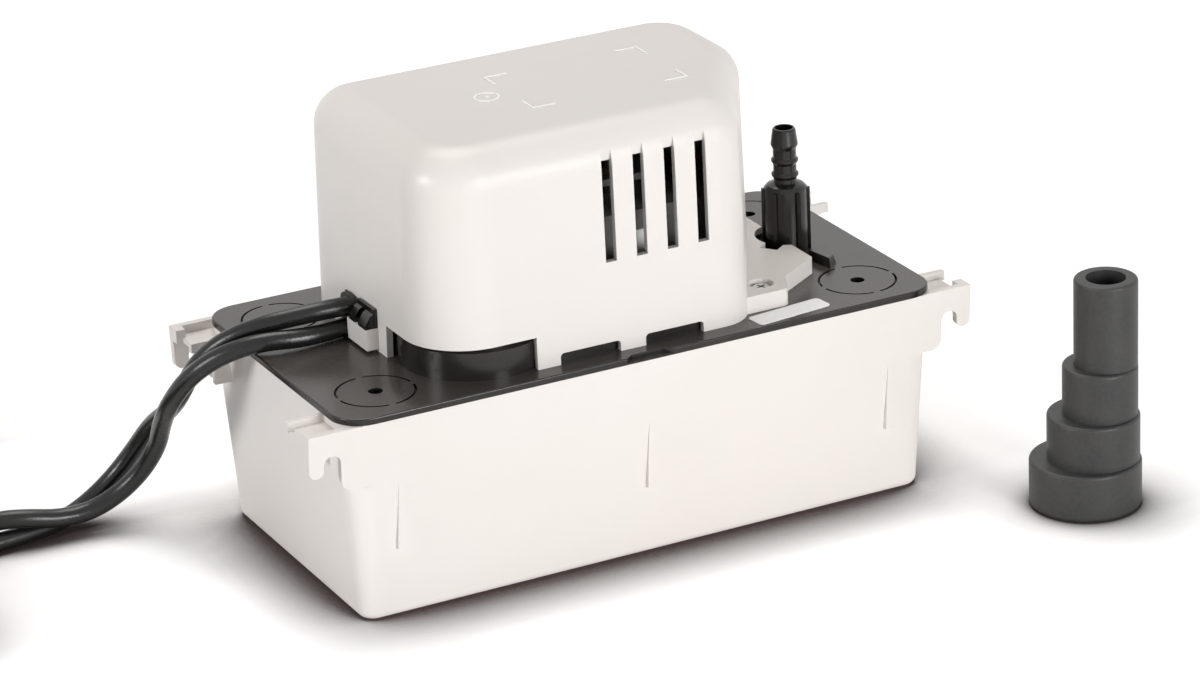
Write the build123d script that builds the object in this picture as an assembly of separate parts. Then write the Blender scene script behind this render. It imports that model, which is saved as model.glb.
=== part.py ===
from build123d import *
import math
import os

# A condensate pump: an open plastic tank, a moulded lid that carries a motor above
# and a centrifugal pump below, a float with two switches, and a white motor cover.
# Origin: middle of the tank's underside. +X runs along the long side towards the
# discharge adapter, -Y is the long face with the vents, +Z is up. Millimetres.

# Tank
TANK_LENGTH = 242.0
TANK_WIDTH = 127.0
TANK_CORNER = 11.5
TANK_HEIGHT = 78.5
TANK_WALL = 2.5
TANK_FLOOR = 2.8
TANK_DRAFT = 3.9
TANK_FOOT_RADIUS = 3.5
RIB_INSET = 20.5
RIB_SPACING = TANK_LENGTH / 2 - RIB_INSET
RIB_TOP = 53.0
RIB_BOTTOM = 27.5
RIB_WIDTH = 3.6
RIB_TIP_WIDTH = 1.1

# Hanging hooks at the four corners of the tank
HOOK_OVERHANG = 14.2
HOOK_REACH = TANK_LENGTH / 2 + HOOK_OVERHANG
HOOK_LAP = 13.0
HOOK_ROOT = TANK_LENGTH / 2 - HOOK_LAP
HOOK_THICK = 3.0
HOOK_DROP = 23.6
PRONG_DROP = 16.5
HOOK_SLOT = 6.7
HOOK_SLOT_OUT = 5.25
HOOK_SLOT_X = TANK_LENGTH / 2 + HOOK_SLOT_OUT
HOOK_SLOT_TOP = 8.9
GUSSET_INSET = 18.5
GUSSET_Y = TANK_WIDTH / 2 - GUSSET_INSET
GUSSET_THICK = 2.5
GUSSET_SHY = 0.2
GUSSET_REACH = HOOK_REACH - GUSSET_SHY
GUSSET_ARM = 3.6
GUSSET_KNEE = 5.5
GUSSET_DEPTH = 18.0
WEB_THICK = 2.0
WEB_DROP = 2.6
LIP_THICK = 2.7
WEB_REACH = HOOK_REACH - LIP_THICK
LIP_DEPTH = 7.0

# Lid
LID_OVERHANG = 0.5
LID_LENGTH = TANK_LENGTH + 2 * LID_OVERHANG
LID_WIDTH = TANK_WIDTH + 2 * LID_OVERHANG
LID_CORNER = 12.0
LID_THICK = 2.5
SKIRT_THICK = 2.0
SKIRT_DEPTH = 6.0
SKIRT_GAP = 0.9
DECK_Z = TANK_HEIGHT + LID_THICK
INLET_INSET_X = 22.4
INLET_INSET_Y = 22.1
INLET_X = LID_LENGTH / 2 - INLET_INSET_X
INLET_Y = LID_WIDTH / 2 - INLET_INSET_Y
INLET_RADIUS = 14.4
INLET_GROOVE = 0.9
INLET_GROOVE_DEPTH = 1.7
INLET_HOLE = 2.7
INLET_TAB_DEG = 11.0
SCOOP_LENGTH = 19.0
SCOOP_DEPTH = 2.6
SCOOP_CHAMFER = 3.2
SCOOP_FLOOR = 0.6

# Float chamber, a round tower moulded on the lid
TOWER_X = -53.0
TOWER_Y = -28.0
TOWER_RADIUS = 28.0
TOWER_STEP_Z = 10.5
TOWER_TOP_RADIUS = 24.0
TOWER_BORE = 22.0
TOWER_HEIGHT = 16.0
TOWER_ROOF = 2.2
TOWER_FILLET = 1.5

# Motor cover
COVER_LEFT = -82.3
COVER_RIGHT = 79.5
COVER_FRONT_RIGHT = 44.5
COVER_KNEE_Y = 7.0
COVER_HALF_WIDTH = 56.2
COVER_HEIGHT = 85.0
COVER_WALL = 2.5
COVER_DRAFT = 1.1
COVER_TOP_RADIUS = 14.0
CORNER_FRONT_LEFT = 25.0
CORNER_FRONT_RIGHT = 15.5
CORNER_KNEE = 18.0
CORNER_BACK_RIGHT = 22.0
CORNER_BACK_LEFT = 18.0
VENT_FIRST_X = -12.1
VENT_PITCH = 12.56
VENT_COUNT = 4
VENT_WIDTH = 4.4
VENT_LENGTH = 37.8
VENT_BELOW_TOP = 12.4
VENT_TOP = COVER_HEIGHT - VENT_BELOW_TOP
VENT_BOTTOM = VENT_TOP - VENT_LENGTH
VENT_DEPTH = 5.2
VENT_POCKET_RISE = 5.4
VENT_POCKET_DEPTH = 3.3
NOTCHES = ((-32.2, -7.8), (2.4, 26.2))
NOTCH_HEIGHT = 4.3
NOTCH_RADIUS = 1.6
CUTOUT_RIGHT = -41.3
CUTOUT_BACK = -15.8
CUTOUT_HEIGHT = 12.4
BLOCK_REACH = 4.8
BLOCK_Y = (-9.0, 7.6)
BLOCK_BOTTOM = 1.2
BLOCK_TOP = 9.2
CORD_DOOR = (7.7, 18.6)
CORD_DOOR_HEIGHT = 15.4
GROMMET_CORNER = 4.0
MARK_X = 10.3
MARK_HALF_X = 31.8
MARK_HALF_Y = 20.5
MARK_ARM = 9.5
MARK_LINE = 0.8
MARK_HEIGHT = 0.3
MARK_RING_X = -29.9
MARK_RING_RADIUS = 4.9

# Flange of the cover, which traps the discharge adapter
FLANGE_HEIGHT = 6.6
FLANGE_PLATE = 2.2
FLANGE_WALL = 2.0
FLANGE_HALF = 50.0
FLANGE_RIGHT = 88.3
FLANGE_EAR_X = 65.0
FLANGE_HIP = (70.5, 38.5)
FLANGE_SHOULDER_Y = 26.8
FORK_RADIUS = 12.3
SCREW_X = 59.2
SCREW_Y = 40.0
SCREW_RADIUS = 2.0
SCREW_HEAD_RADIUS = 3.6
SCREW_SINK_RADIUS = 4.7
SCREW_SINK_DEPTH = 3.4
SCREW_BOSS = 5.8
SCREW_LENGTH = 12.0

# Discharge adapter with its quarter-turn lugs and check ball
ADAPTER_X = 92.6
ADAPTER_RADIUS = 8.2
ADAPTER_RIB = 1.0
ADAPTER_RIBS = 6
ADAPTER_SHOULDER_Z = 26.8
ADAPTER_TOP_Z = 49.2
HOSE_BORE = 3.4
HOSE_NECK = 4.43
HOSE_BARB = 5.17
VALVE_BORE = 6.0
VALVE_SEAT_BORE = 3.4
SPIGOT_RADIUS = 6.9
SPIGOT_DEPTH = 10.0
SOCKET_CLEAR = 0.5
SOCKET_WALL = 2.2
SOCKET_DEPTH = 13.0
LUG_RADIUS = 16.4
LUG_WIDTH = 6.4
LUG_Z = (0.6, 1.9)
LUG_GAP = 0.35
LUG_ANGLE = -73.0
LUG_TURN = 70.0
KEEPER_TOP = 3.6
KEEPER_LEAN = 16.0
BALL_RADIUS = 4.6
BALL_LIFT = 3.0
SEAT_GAP = 0.3

# Motor and pump, one vertical shaft
MOTOR_X = 12.0
MOTOR_Y = -14.0
SHAFT_RADIUS = 2.5
FAN_HEADROOM = 10.5
SHAFT_TOP = COVER_HEIGHT - COVER_WALL - FAN_HEADROOM
STACK_BELOW_SHAFT_TOP = 27.0
STACK_ABOVE_DECK = 15.0
STACK_Z = (STACK_ABOVE_DECK, SHAFT_TOP - STACK_BELOW_SHAFT_TOP)
STACK_X = (-21.0, 45.0)
STACK_Y = (-38.0, 34.0)
STACK_LEG = 12.0
WINDOW_FRONT = 8.0
ROTOR_RADIUS = 14.0
AIR_GAP = 0.35
BOLT_RADIUS = 2.0
BOLT_OFFSET = 27.0
BOLT_THREAD_RADIUS = 1.65
BOLT_REACH = 10.0
BOLT_HEAD = (4.0, 2.6)
POST_RADIUS = 5.0
PLINTH_HEIGHT = 3.0
SHAFT_CLEARANCE = 2.0
BOLT_HOLE_REACH = 16.0
BRACKET_THICK = 2.5
BRACKET_HALF = 9.0
BRACKET_RISE = 5.5
BRACKET_WAIST = 17.0
BEARING_RADIUS = 5.0
BEARING_LENGTH = 6.0
RUNNING_GAP = 0.06
FAN_RADIUS = 23.0
FAN_BLADES = 6
FAN_HUB = 6.5
FAN_BELOW_SHAFT_TOP = 1.0
FAN_Z = (SHAFT_TOP - FAN_BELOW_SHAFT_TOP - FAN_HUB, SHAFT_TOP - FAN_BELOW_SHAFT_TOP)
COIL_BUILD = 7.5
BOBBIN_WALL = 1.2

# Pump end
VOLUTE_Z = (8.0, 26.0)
VOLUTE_RADIUS = 21.0
VOLUTE_EARS = 3
VOLUTE_EAR_DEG = 80.0
VOLUTE_EAR_RADIUS = 3.6
VOLUTE_SCREW = (1.25, 10.0)
VOLUTE_SCREW_HEAD = (2.5, 1.6)
VOLUTE_SCREW_HOLE = 1.3
VOLUTE_SCREW_DEPTH = 9.0
VOLUTE_BORE = 17.5
VOLUTE_CHAMBER = (10.5, 23.0)
THROAT_OFFSET = 14.0
THROAT_BORE = 4.0
THROAT_WALL = 2.0
THROAT_Z = 16.75
SPOUT_END = 42.0
IMPELLER_RADIUS = 15.5
IMPELLER_Z = (11.5, 21.0)
IMPELLER_VANES = 5
INTAKE_RADIUS = 6.5
PLATE_THICK = 2.5
COLUMN_RADIUS = 11.0
COLUMN_BORE = 8.5
COLUMN_FLANGE = 18.0
COLUMN_WINDOWS = 3
RISER_CUP = 6.0

# Float and switches
FLOAT_RADIUS = 20.0
FLOAT_Z = (12.0, 34.0)
FLOAT_TRAVEL = 20.0
STEM_RADIUS = 2.0
STEM_GAP = 0.08
COLLAR_RADIUS = 6.5
COLLAR_Z = (18.5, 21.0)
SWITCH_SIZE = (19.8, 6.4, 10.2)
SWITCH_BOTTOM = 44.0
SWITCH_INNER = 2.7
SWITCH_Y = -24.2
LEVER_PIVOT_Z = 43.0
LEVER_LENGTH = 19.0
LEVER_THICK = 0.5
LEVER_WIDTH = 4.0
LEVER_DROOP = 8.0
BUTTON_OFFSET = 8.0
BUTTON_RADIUS = 0.9
BUTTON_BOTTOM = 42.5
BRACKET_PLATE = 1.6
BRACKET_PLATE_HALF = 22.0
BRACKET_PLATE_TOP = 12.0
BRACKET_FOOT = (14.0, 12.0)

# Terminal block, and the red lead from it over the stack to the coil
TERMINAL_X = (-66.0, -42.0)
TERMINAL_Y = (26.0, 42.0)
TERMINAL_HEIGHT = 13.0
TERMINAL_PITCH = 8.0
TERMINAL_WELL = (2.2, 6.0)
TERMINAL_HOLE = (1.6, 5.0)
MOTOR_LEAD_RADIUS = 1.0
MOTOR_LEAD_BEND = 3.5
MOTOR_LEAD_LOW = ((-54.0, 42.1, 6.0), (-54.0, 48.0, 6.0), (-40.0, 48.0, 10.0), (40.0, 48.0, 10.0),
                  (54.0, 38.0, 14.0), (54.0, 0.0, 20.0), (52.0, -30.0, 30.0))
MOTOR_LEAD_OVER = ((46.0, -42.0, -4.0), (36.0, -41.0, 8.5), (44.0, -30.0, 8.0), (48.0, -16.0, 6.0),
                   (48.0, 10.0, 4.5), (44.0, 24.0, 4.0), (33.2, 24.0, 4.0))

# Stepped reducer, which stands beside the pump
REDUCER_X = 165.9
REDUCER_Y = -108.2
REDUCER_LEAN = (0.895, -0.446)
REDUCER_STEPS = ((21.05, 18.4, -7.6), (17.4, 17.8, -4.6), (14.1, 19.4, -2.1), (11.9, 33.8, 0.0))
REDUCER_WALL = 3.0
REDUCER_EDGE = 1.2
REDUCER_BASE_EDGE = 1.8

# Cords: the lower one is the mains lead, the upper one the alarm lead. The points are
# the route, from the grommet over the lid's edge to the floor and on to the coil.
CORD_RADIUS = 3.6
CORD_EXIT_X = -84.4
MAINS_ROUTE = [(CORD_EXIT_X, 11.6, 85.0), (-92.0, 10.7, 84.9), (-104.7, 9.2, 85.1),
               (-119.7, 12.2, 86.0), (-133.0, 18.9, 81.5), (-142.9, 27.1, 72.2),
               (-147.9, 36.3, 59.1), (-146.9, 47.7, 47.3), (-146.1, 56.4, 35.2),
               (-149.9, 62.6, 24.3), (-158.1, 67.0, 15.0), (-169.6, 69.5, 9.0),
               (-182.0, 70.5, 8.5), (-193.9, 71.2, 11.3), (-204.4, 74.3, 11.9),
               (-223.0, 82.5, 7.6), (-246.0, 88.4, 11.8), (-276.0, 90.4, 18.1)]
ALARM_ROUTE = [(CORD_EXIT_X, 11.1, 92.9), (-93.9, 11.6, 93.1), (-103.8, 13.9, 92.0),
               (-115.4, 18.2, 90.0), (-128.4, 26.2, 83.9), (-137.4, 34.6, 72.9),
               (-140.6, 42.7, 58.8), (-141.4, 54.1, 48.8), (-144.4, 65.9, 39.7),
               (-148.7, 73.9, 27.9), (-155.8, 78.0, 17.4), (-166.0, 79.2, 8.9),
               (-178.0, 77.7, 4.2), (-190.9, 74.8, 3.7), (-202.3, 73.0, 3.8),
               (-213.5, 71.6, 4.2), (-236.2, 69.4, 6.4), (-261.9, 69.9, 10.9),
               (-286.0, 70.6, 18.1)]
COIL_MID_RADIUS = 40.0
COIL_COLUMNS = 2
COIL_LAYERS = 3
COIL_LIFT = 0.1
COIL_SLACK = 0.2
TAIL_LENGTH = 28.0
TAIL_RISE = 3.3
MAINS_COIL_EXIT = 90.0
ALARM_COIL_EXIT = 180.0
TIE_WIDTH = 5.0
TIE_THICK = 0.9
TIE_ANGLE = 135.0
PLUG_RELIEF = 17.0
PLUG_GAP = 0.5
PLUG_LENGTH = 34.0
PLUG_WIDTH = 34.0
PLUG_FACE_WIDTH = 26.0
PLUG_THICK = 13.6
PIN_RADIUS = 2.0
PIN_LENGTH = 19.0
PIN_SPACING = 18.6
CORE_RADIUS = 1.1
CORE_LENGTH = 26.0
FERRULE_RADIUS = 0.8
FERRULE_LENGTH = 8.0
END_GAP = 0.3


def block(x, y, z):
    """A box given by its lowest and highest value along each axis."""
    size = (x[1] - x[0], y[1] - y[0], z[1] - z[0])
    middle = ((x[0] + x[1]) / 2, (y[0] + y[1]) / 2, (z[0] + z[1]) / 2)
    return Pos(*middle) * Box(*size)


def rod(x, y, z, radius):
    """A vertical cylinder between two heights."""
    return Pos(x, y, (z[0] + z[1]) / 2) * Cylinder(radius, z[1] - z[0])


def tube(x, y, z, outer, inner):
    """A vertical tube between two heights."""
    return rod(x, y, z, outer) - rod(x, y, z, inner)


def above_deck(z):
    """Turns a pair of heights above the lid into heights above the floor."""
    return (DECK_Z + z[0], DECK_Z + z[1])


def turned(profile, x=0.0, y=0.0):
    """Revolves a closed outline of (radius, height) points about a vertical axis."""
    face = make_face(Polyline(*[(r, 0, z) for r, z in profile], close=True))
    return Pos(x, y, 0) * revolve(face, Axis.Z)


def four_ways(piece):
    """The piece and its mirror images in both middle planes."""
    pair = piece + mirror(piece, Plane.YZ)
    return pair + mirror(pair, Plane.XZ)


def single(shape):
    """The one solid of a shape, as a plain solid."""
    solids = shape.solids()
    return solids[0] if len(solids) == 1 else Compound(children=list(solids))


def tapered_tub(inset, bottom):
    """The tank's outside, or its hollow when it is inset by the wall."""
    outline = Pos(0, 0, TANK_HEIGHT) * RectangleRounded(
        TANK_LENGTH - 2 * inset, TANK_WIDTH - 2 * inset, TANK_CORNER - inset)
    return extrude(outline, amount=bottom - TANK_HEIGHT, taper=TANK_DRAFT)


def hook_plate():
    """One hanging hook, in the plane of the drafted front wall, at +X."""
    tilt = math.radians(TANK_DRAFT)
    wall = Plane(origin=(0, -TANK_WIDTH / 2, TANK_HEIGHT), x_dir=(1, 0, 0),
                 z_dir=(0, -math.cos(tilt), -math.sin(tilt)))
    slot_left = HOOK_SLOT_X - HOOK_SLOT / 2
    slot_right = HOOK_SLOT_X + HOOK_SLOT / 2
    arch = -(HOOK_SLOT_TOP + HOOK_SLOT / 2)
    plate = Polyline((HOOK_ROOT, 0), (HOOK_REACH, 0), (HOOK_REACH, -PRONG_DROP),
                     (slot_right, -PRONG_DROP), (slot_right, arch), (slot_left, arch),
                     (slot_left, -HOOK_DROP), (HOOK_ROOT, -HOOK_DROP), close=True)
    face = make_face(plate) - Pos(HOOK_SLOT_X, arch) * Circle(HOOK_SLOT / 2)
    prong = [v for v in face.vertices() if abs(v.Y + PRONG_DROP) < 0.1 and v.X > slot_right - 0.1]
    face = fillet(prong, (HOOK_REACH - slot_right) / 2 - 0.05)
    heel = [v for v in face.vertices() if abs(v.Y + HOOK_DROP) < 0.1 and v.X > HOOK_ROOT + 1]
    face = fillet(heel, 4.0)
    return extrude(wall * face, amount=-HOOK_THICK)


def corner_bracket():
    """The gusset behind a hook and the web that ties the two together, at +X and -Y."""
    top = TANK_HEIGHT - 0.6
    root = TANK_LENGTH / 2 - 6
    knee = TANK_LENGTH / 2 + GUSSET_KNEE
    gusset_y = (-GUSSET_Y, -GUSSET_Y + GUSSET_THICK)
    arm = block((root, GUSSET_REACH), gusset_y, (top - GUSSET_ARM, top))
    leg = block((root, knee), gusset_y, (top - GUSSET_DEPTH, top))
    web_top = top - WEB_DROP
    web = block((root, WEB_REACH), (-TANK_WIDTH / 2 + 1.0, -GUSSET_Y + 1.0),
                (web_top - WEB_THICK, web_top))
    lip = block((WEB_REACH - 1.0, HOOK_REACH), (-TANK_WIDTH / 2 + 1.0, -TANK_WIDTH / 2 + LIP_DEPTH),
                (web_top - WEB_THICK, TANK_HEIGHT))
    return arm + leg + web + lip


def wedge_rib(x):
    """A rib that fades out upwards while the wall leans away below it."""
    lean = (TANK_HEIGHT - RIB_TOP) * math.tan(math.radians(TANK_DRAFT))
    face_y = -TANK_WIDTH / 2 + lean - 0.1
    face = make_face(Polyline((x - RIB_WIDTH / 2, RIB_BOTTOM), (x + RIB_WIDTH / 2, RIB_BOTTOM),
                              (x + RIB_TIP_WIDTH / 2, RIB_TOP), (x - RIB_TIP_WIDTH / 2, RIB_TOP),
                              close=True))
    plane = Plane(origin=(0, face_y, 0), x_dir=(1, 0, 0), z_dir=(0, -1, 0))
    return extrude(plane * face, amount=-5.0)


def make_tank():
    outside = tapered_tub(0, 0)
    outside = fillet(outside.edges().group_by(Axis.Z)[0], TANK_FOOT_RADIUS)
    hooks = four_ways(hook_plate() + corner_bracket())
    ribs = [wedge_rib(x) for x in (-RIB_SPACING, 0, RIB_SPACING)]
    front = ribs[0] + ribs[1] + ribs[2]
    body = outside + hooks + front + mirror(front, Plane.XZ)
    above_rim = block((-HOOK_REACH - 5, HOOK_REACH + 5), (-TANK_WIDTH, TANK_WIDTH),
                      (TANK_HEIGHT, TANK_HEIGHT + 5))
    return body - tapered_tub(TANK_WALL, TANK_FLOOR) - above_rim


def knock_out(x, y):
    """The score line of one inlet: four arcs with a break tab between each pair."""
    ring = tube(x, y, (DECK_Z - INLET_GROOVE_DEPTH, DECK_Z + 1),
                INLET_RADIUS + INLET_GROOVE / 2, INLET_RADIUS - INLET_GROOVE / 2)
    tab = 2 * INLET_RADIUS * math.sin(math.radians(INLET_TAB_DEG / 2))
    tall = (DECK_Z - 5, DECK_Z + 5)
    cross = block((x - 20, x + 20), (y - tab / 2, y + tab / 2), tall)
    cross = cross + block((x - tab / 2, x + tab / 2), (y - 20, y + 20), tall)
    return (ring - cross) + rod(x, y, (DECK_Z - 5, DECK_Z + 1), INLET_HOLE)


def cover_outline(inset=0.0):
    """The plan of the motor cover, with a slanted wall at its front right."""
    corners = ((COVER_LEFT, -COVER_HALF_WIDTH), (COVER_FRONT_RIGHT, -COVER_HALF_WIDTH),
               (COVER_RIGHT, COVER_KNEE_Y), (COVER_RIGHT, COVER_HALF_WIDTH),
               (COVER_LEFT, COVER_HALF_WIDTH))
    radii = (CORNER_FRONT_LEFT, CORNER_FRONT_RIGHT, CORNER_KNEE, CORNER_BACK_RIGHT,
             CORNER_BACK_LEFT)
    face = make_face(Polyline(*corners, close=True))
    for corner, radius in zip(corners, radii):
        spot = face.vertices().sort_by_distance(Vector(corner[0], corner[1], 0))[0]
        face = fillet(spot, radius)
    if inset:
        face = offset(face, amount=-inset)
    return face


def float_tower():
    """The outside of the float chamber, a stepped round tower."""
    step = DECK_Z + TOWER_STEP_Z
    lower = rod(TOWER_X, TOWER_Y, (DECK_Z - 0.5, step), TOWER_RADIUS)
    upper = rod(TOWER_X, TOWER_Y, (DECK_Z, DECK_Z + TOWER_HEIGHT), TOWER_TOP_RADIUS)
    return lower + upper


def keeper_block(turn, grow, height, lean=0.0):
    """The outline of one keeper, measured from the adapter's axis, as a low block."""
    plan = ((1.2, -12.2), (8.6, -10.4), (10.5, -14.0), (8.8, -22.4), (3.6, -27.0), (2.0, -18.0))
    face = offset(make_face(Polyline(*plan, close=True)), amount=grow, kind=Kind.INTERSECTION)
    solid = extrude(Pos(0, 0, DECK_Z - 0.5) * face, amount=height + 0.5, taper=lean)
    return Pos(ADAPTER_X, 0, 0) * (Rot(0, 0, turn) * solid)


def keeper(turn):
    """A low hood on the lid that holds one lug of the discharge adapter down."""
    hood = keeper_block(turn, 0.01, KEEPER_TOP, KEEPER_LEAN)
    pocket = tube(ADAPTER_X, 0, above_deck((LUG_Z[0] - LUG_GAP, LUG_Z[1] + LUG_GAP)),
                  LUG_RADIUS + 0.8, 5.0)
    return hood - pocket - rod(ADAPTER_X, 0, above_deck((0, 10)), ADAPTER_RADIUS + ADAPTER_RIB + 0.6)


def thumb_scoop():
    """The bevelled notch in the lid's front edge, where a thumb lifts the lid."""
    half = SCOOP_LENGTH / 2
    edge = -LID_WIDTH / 2
    plan = make_face(Polyline((-half, edge - 1), (half, edge - 1), (half, edge),
                              (half - SCOOP_CHAMFER, edge + SCOOP_DEPTH),
                              (SCOOP_CHAMFER - half, edge + SCOOP_DEPTH), (-half, edge), close=True))
    return extrude(Pos(0, 0, TANK_HEIGHT + SCOOP_FLOOR) * plan, amount=LID_THICK)


def make_lid():
    plate = extrude(Pos(0, 0, TANK_HEIGHT) * RectangleRounded(LID_LENGTH, LID_WIDTH, LID_CORNER),
                    amount=LID_THICK)
    plate = fillet(plate.edges().group_by(Axis.Z)[-1], 0.6)
    inset = TANK_WALL + SKIRT_GAP
    skirt_z = TANK_HEIGHT - SKIRT_DEPTH
    skirt = extrude(Pos(0, 0, skirt_z) * RectangleRounded(
        TANK_LENGTH - 2 * inset, TANK_WIDTH - 2 * inset, TANK_CORNER - inset), amount=SKIRT_DEPTH)
    skirt = skirt - extrude(Pos(0, 0, skirt_z) * RectangleRounded(
        TANK_LENGTH - 2 * (inset + SKIRT_THICK), TANK_WIDTH - 2 * (inset + SKIRT_THICK),
        TANK_CORNER - inset - SKIRT_THICK), amount=SKIRT_DEPTH)
    lid = plate + skirt + float_tower()

    # A low wall that centres the motor cover, left out round the tower and at the cords.
    wall_face = cover_outline(COVER_WALL + 0.6) - cover_outline(COVER_WALL + 2.6)
    coaming = extrude(Pos(0, 0, DECK_Z - 0.5) * wall_face, amount=7.5)
    coaming = coaming - rod(TOWER_X, TOWER_Y, (DECK_Z, DECK_Z + 30), TOWER_RADIUS + 1)
    coaming = coaming - block((COVER_LEFT - 7.7, COVER_LEFT + 22.3), (CORD_DOOR[0] - 8, CORD_DOOR[1] + 6),
                              above_deck((0, 30)))
    gap_y = (-FORK_RADIUS - 7.7, FORK_RADIUS + 7.7)
    coaming = coaming - block((FLANGE_EAR_X - 5, COVER_RIGHT + 10.5), gap_y, above_deck((0, 30)))
    lid = lid + coaming

    # Posts for the motor, a plinth round the shaft and bosses for the cover's screws.
    for side in (-1, 1):
        lid = lid + rod(MOTOR_X + side * BOLT_OFFSET, MOTOR_Y,
                        above_deck((-0.5, STACK_Z[0] - BRACKET_THICK)), POST_RADIUS)
    lid = lid + rod(MOTOR_X, MOTOR_Y, above_deck((-0.5, PLINTH_HEIGHT)), COLUMN_FLANGE)
    lid = lid + rod(SCREW_X, -SCREW_Y, (TANK_HEIGHT - 5.0, TANK_HEIGHT + 0.5), 4.5)

    # Socket for the discharge adapter.
    socket = SPIGOT_RADIUS + SOCKET_CLEAR
    lid = lid + rod(ADAPTER_X, 0, (DECK_Z - SOCKET_DEPTH, DECK_Z - 1), socket + SOCKET_WALL)
    lid = lid + keeper(0) + keeper(180)

    # Holes: float chamber, stem, shaft, screws, socket, knock-outs and the thumb scoop.
    lid = lid - rod(TOWER_X, TOWER_Y, (0, DECK_Z + TOWER_HEIGHT - TOWER_ROOF), TOWER_BORE)
    lid = lid - rod(TOWER_X, TOWER_Y, above_deck((0, 40)), STEM_RADIUS + STEM_GAP)
    lid = lid - rod(MOTOR_X, MOTOR_Y, (0, DECK_Z + 20), SHAFT_RADIUS + SHAFT_CLEARANCE)
    for side in (-1, 1):
        lid = lid - rod(MOTOR_X + side * BOLT_OFFSET, MOTOR_Y,
                        above_deck((STACK_Z[0] - BOLT_HOLE_REACH, 40)), BOLT_THREAD_RADIUS + 0.05)
    lid = lid - rod(SCREW_X, -SCREW_Y, (TANK_HEIGHT - 3.5, DECK_Z + 5), SCREW_RADIUS)
    lid = lid - rod(ADAPTER_X, 0, (DECK_Z - SPIGOT_DEPTH - 0.3, DECK_Z + 10), socket)
    lid = lid - rod(ADAPTER_X, 0, (0, DECK_Z), VALVE_SEAT_BORE + 1.0)
    for x in (-INLET_X, INLET_X):
        for y in (-INLET_Y, INLET_Y):
            lid = lid - knock_out(x, y)
    return lid - thumb_scoop()


def cover_shell():
    """The drafted, round-topped shell of the motor cover."""
    base = Pos(0, 0, DECK_Z)
    outside = extrude(base * cover_outline(), amount=COVER_HEIGHT, taper=COVER_DRAFT)
    outside = fillet(outside.edges().group_by(Axis.Z)[-1], COVER_TOP_RADIUS)
    inside = extrude(base * cover_outline(COVER_WALL), amount=COVER_HEIGHT - COVER_WALL,
                     taper=COVER_DRAFT)
    inside = fillet(inside.edges().group_by(Axis.Z)[-1], COVER_TOP_RADIUS - COVER_WALL)
    return outside, inside


def flange_outline():
    """The plan of the cover's right-hand flange, alike at both sides of the middle."""
    front = [(COVER_FRONT_RIGHT - 2, -FLANGE_HALF), (FLANGE_EAR_X, -FLANGE_HALF),
             (FLANGE_HIP[0], -FLANGE_HIP[1]), (FLANGE_RIGHT, -FLANGE_SHOULDER_Y)]
    back = [(x, -y) for x, y in reversed(front)]
    face = make_face(Polyline(*(front + back), close=True))
    ears = [v for v in face.vertices() if abs(v.X - FLANGE_EAR_X) < 0.1]
    return fillet(ears, 3.0)


def cover_marks():
    """Four raised corner marks and a ring with a dot, moulded on the top."""
    top = DECK_Z + COVER_HEIGHT
    z = (top - 0.2, top + MARK_HEIGHT)
    marks = tube(MARK_RING_X, 0, z, MARK_RING_RADIUS, MARK_RING_RADIUS - MARK_LINE)
    marks = marks + rod(MARK_RING_X, 0, z, 0.8)
    for sx in (-1, 1):
        for sy in (-1, 1):
            x = MARK_X + sx * MARK_HALF_X
            y = sy * MARK_HALF_Y
            ends_x = sorted((x, x - sx * MARK_ARM))
            ends_y = sorted((y, y - sy * MARK_ARM))
            line_y = sorted((y, y - sy * MARK_LINE))
            line_x = sorted((x, x - sx * MARK_LINE))
            marks = marks + block(ends_x, line_y, z) + block(line_x, ends_y, z)
    return marks


def vent_pocket(x):
    """The shallow pocket above a vent, which fades out in the rounded top edge."""
    low, high = above_deck((VENT_TOP, VENT_TOP + VENT_POCKET_RISE))
    outer = -COVER_HALF_WIDTH - 2
    floor = -COVER_HALF_WIDTH + VENT_POCKET_DEPTH
    face = make_face(Polyline((outer, low), (floor, low), (floor - 1.0, high), (outer, high), close=True))
    return extrude(Pos(x, 0, 0) * (Plane.YZ * face), amount=VENT_WIDTH)


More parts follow.
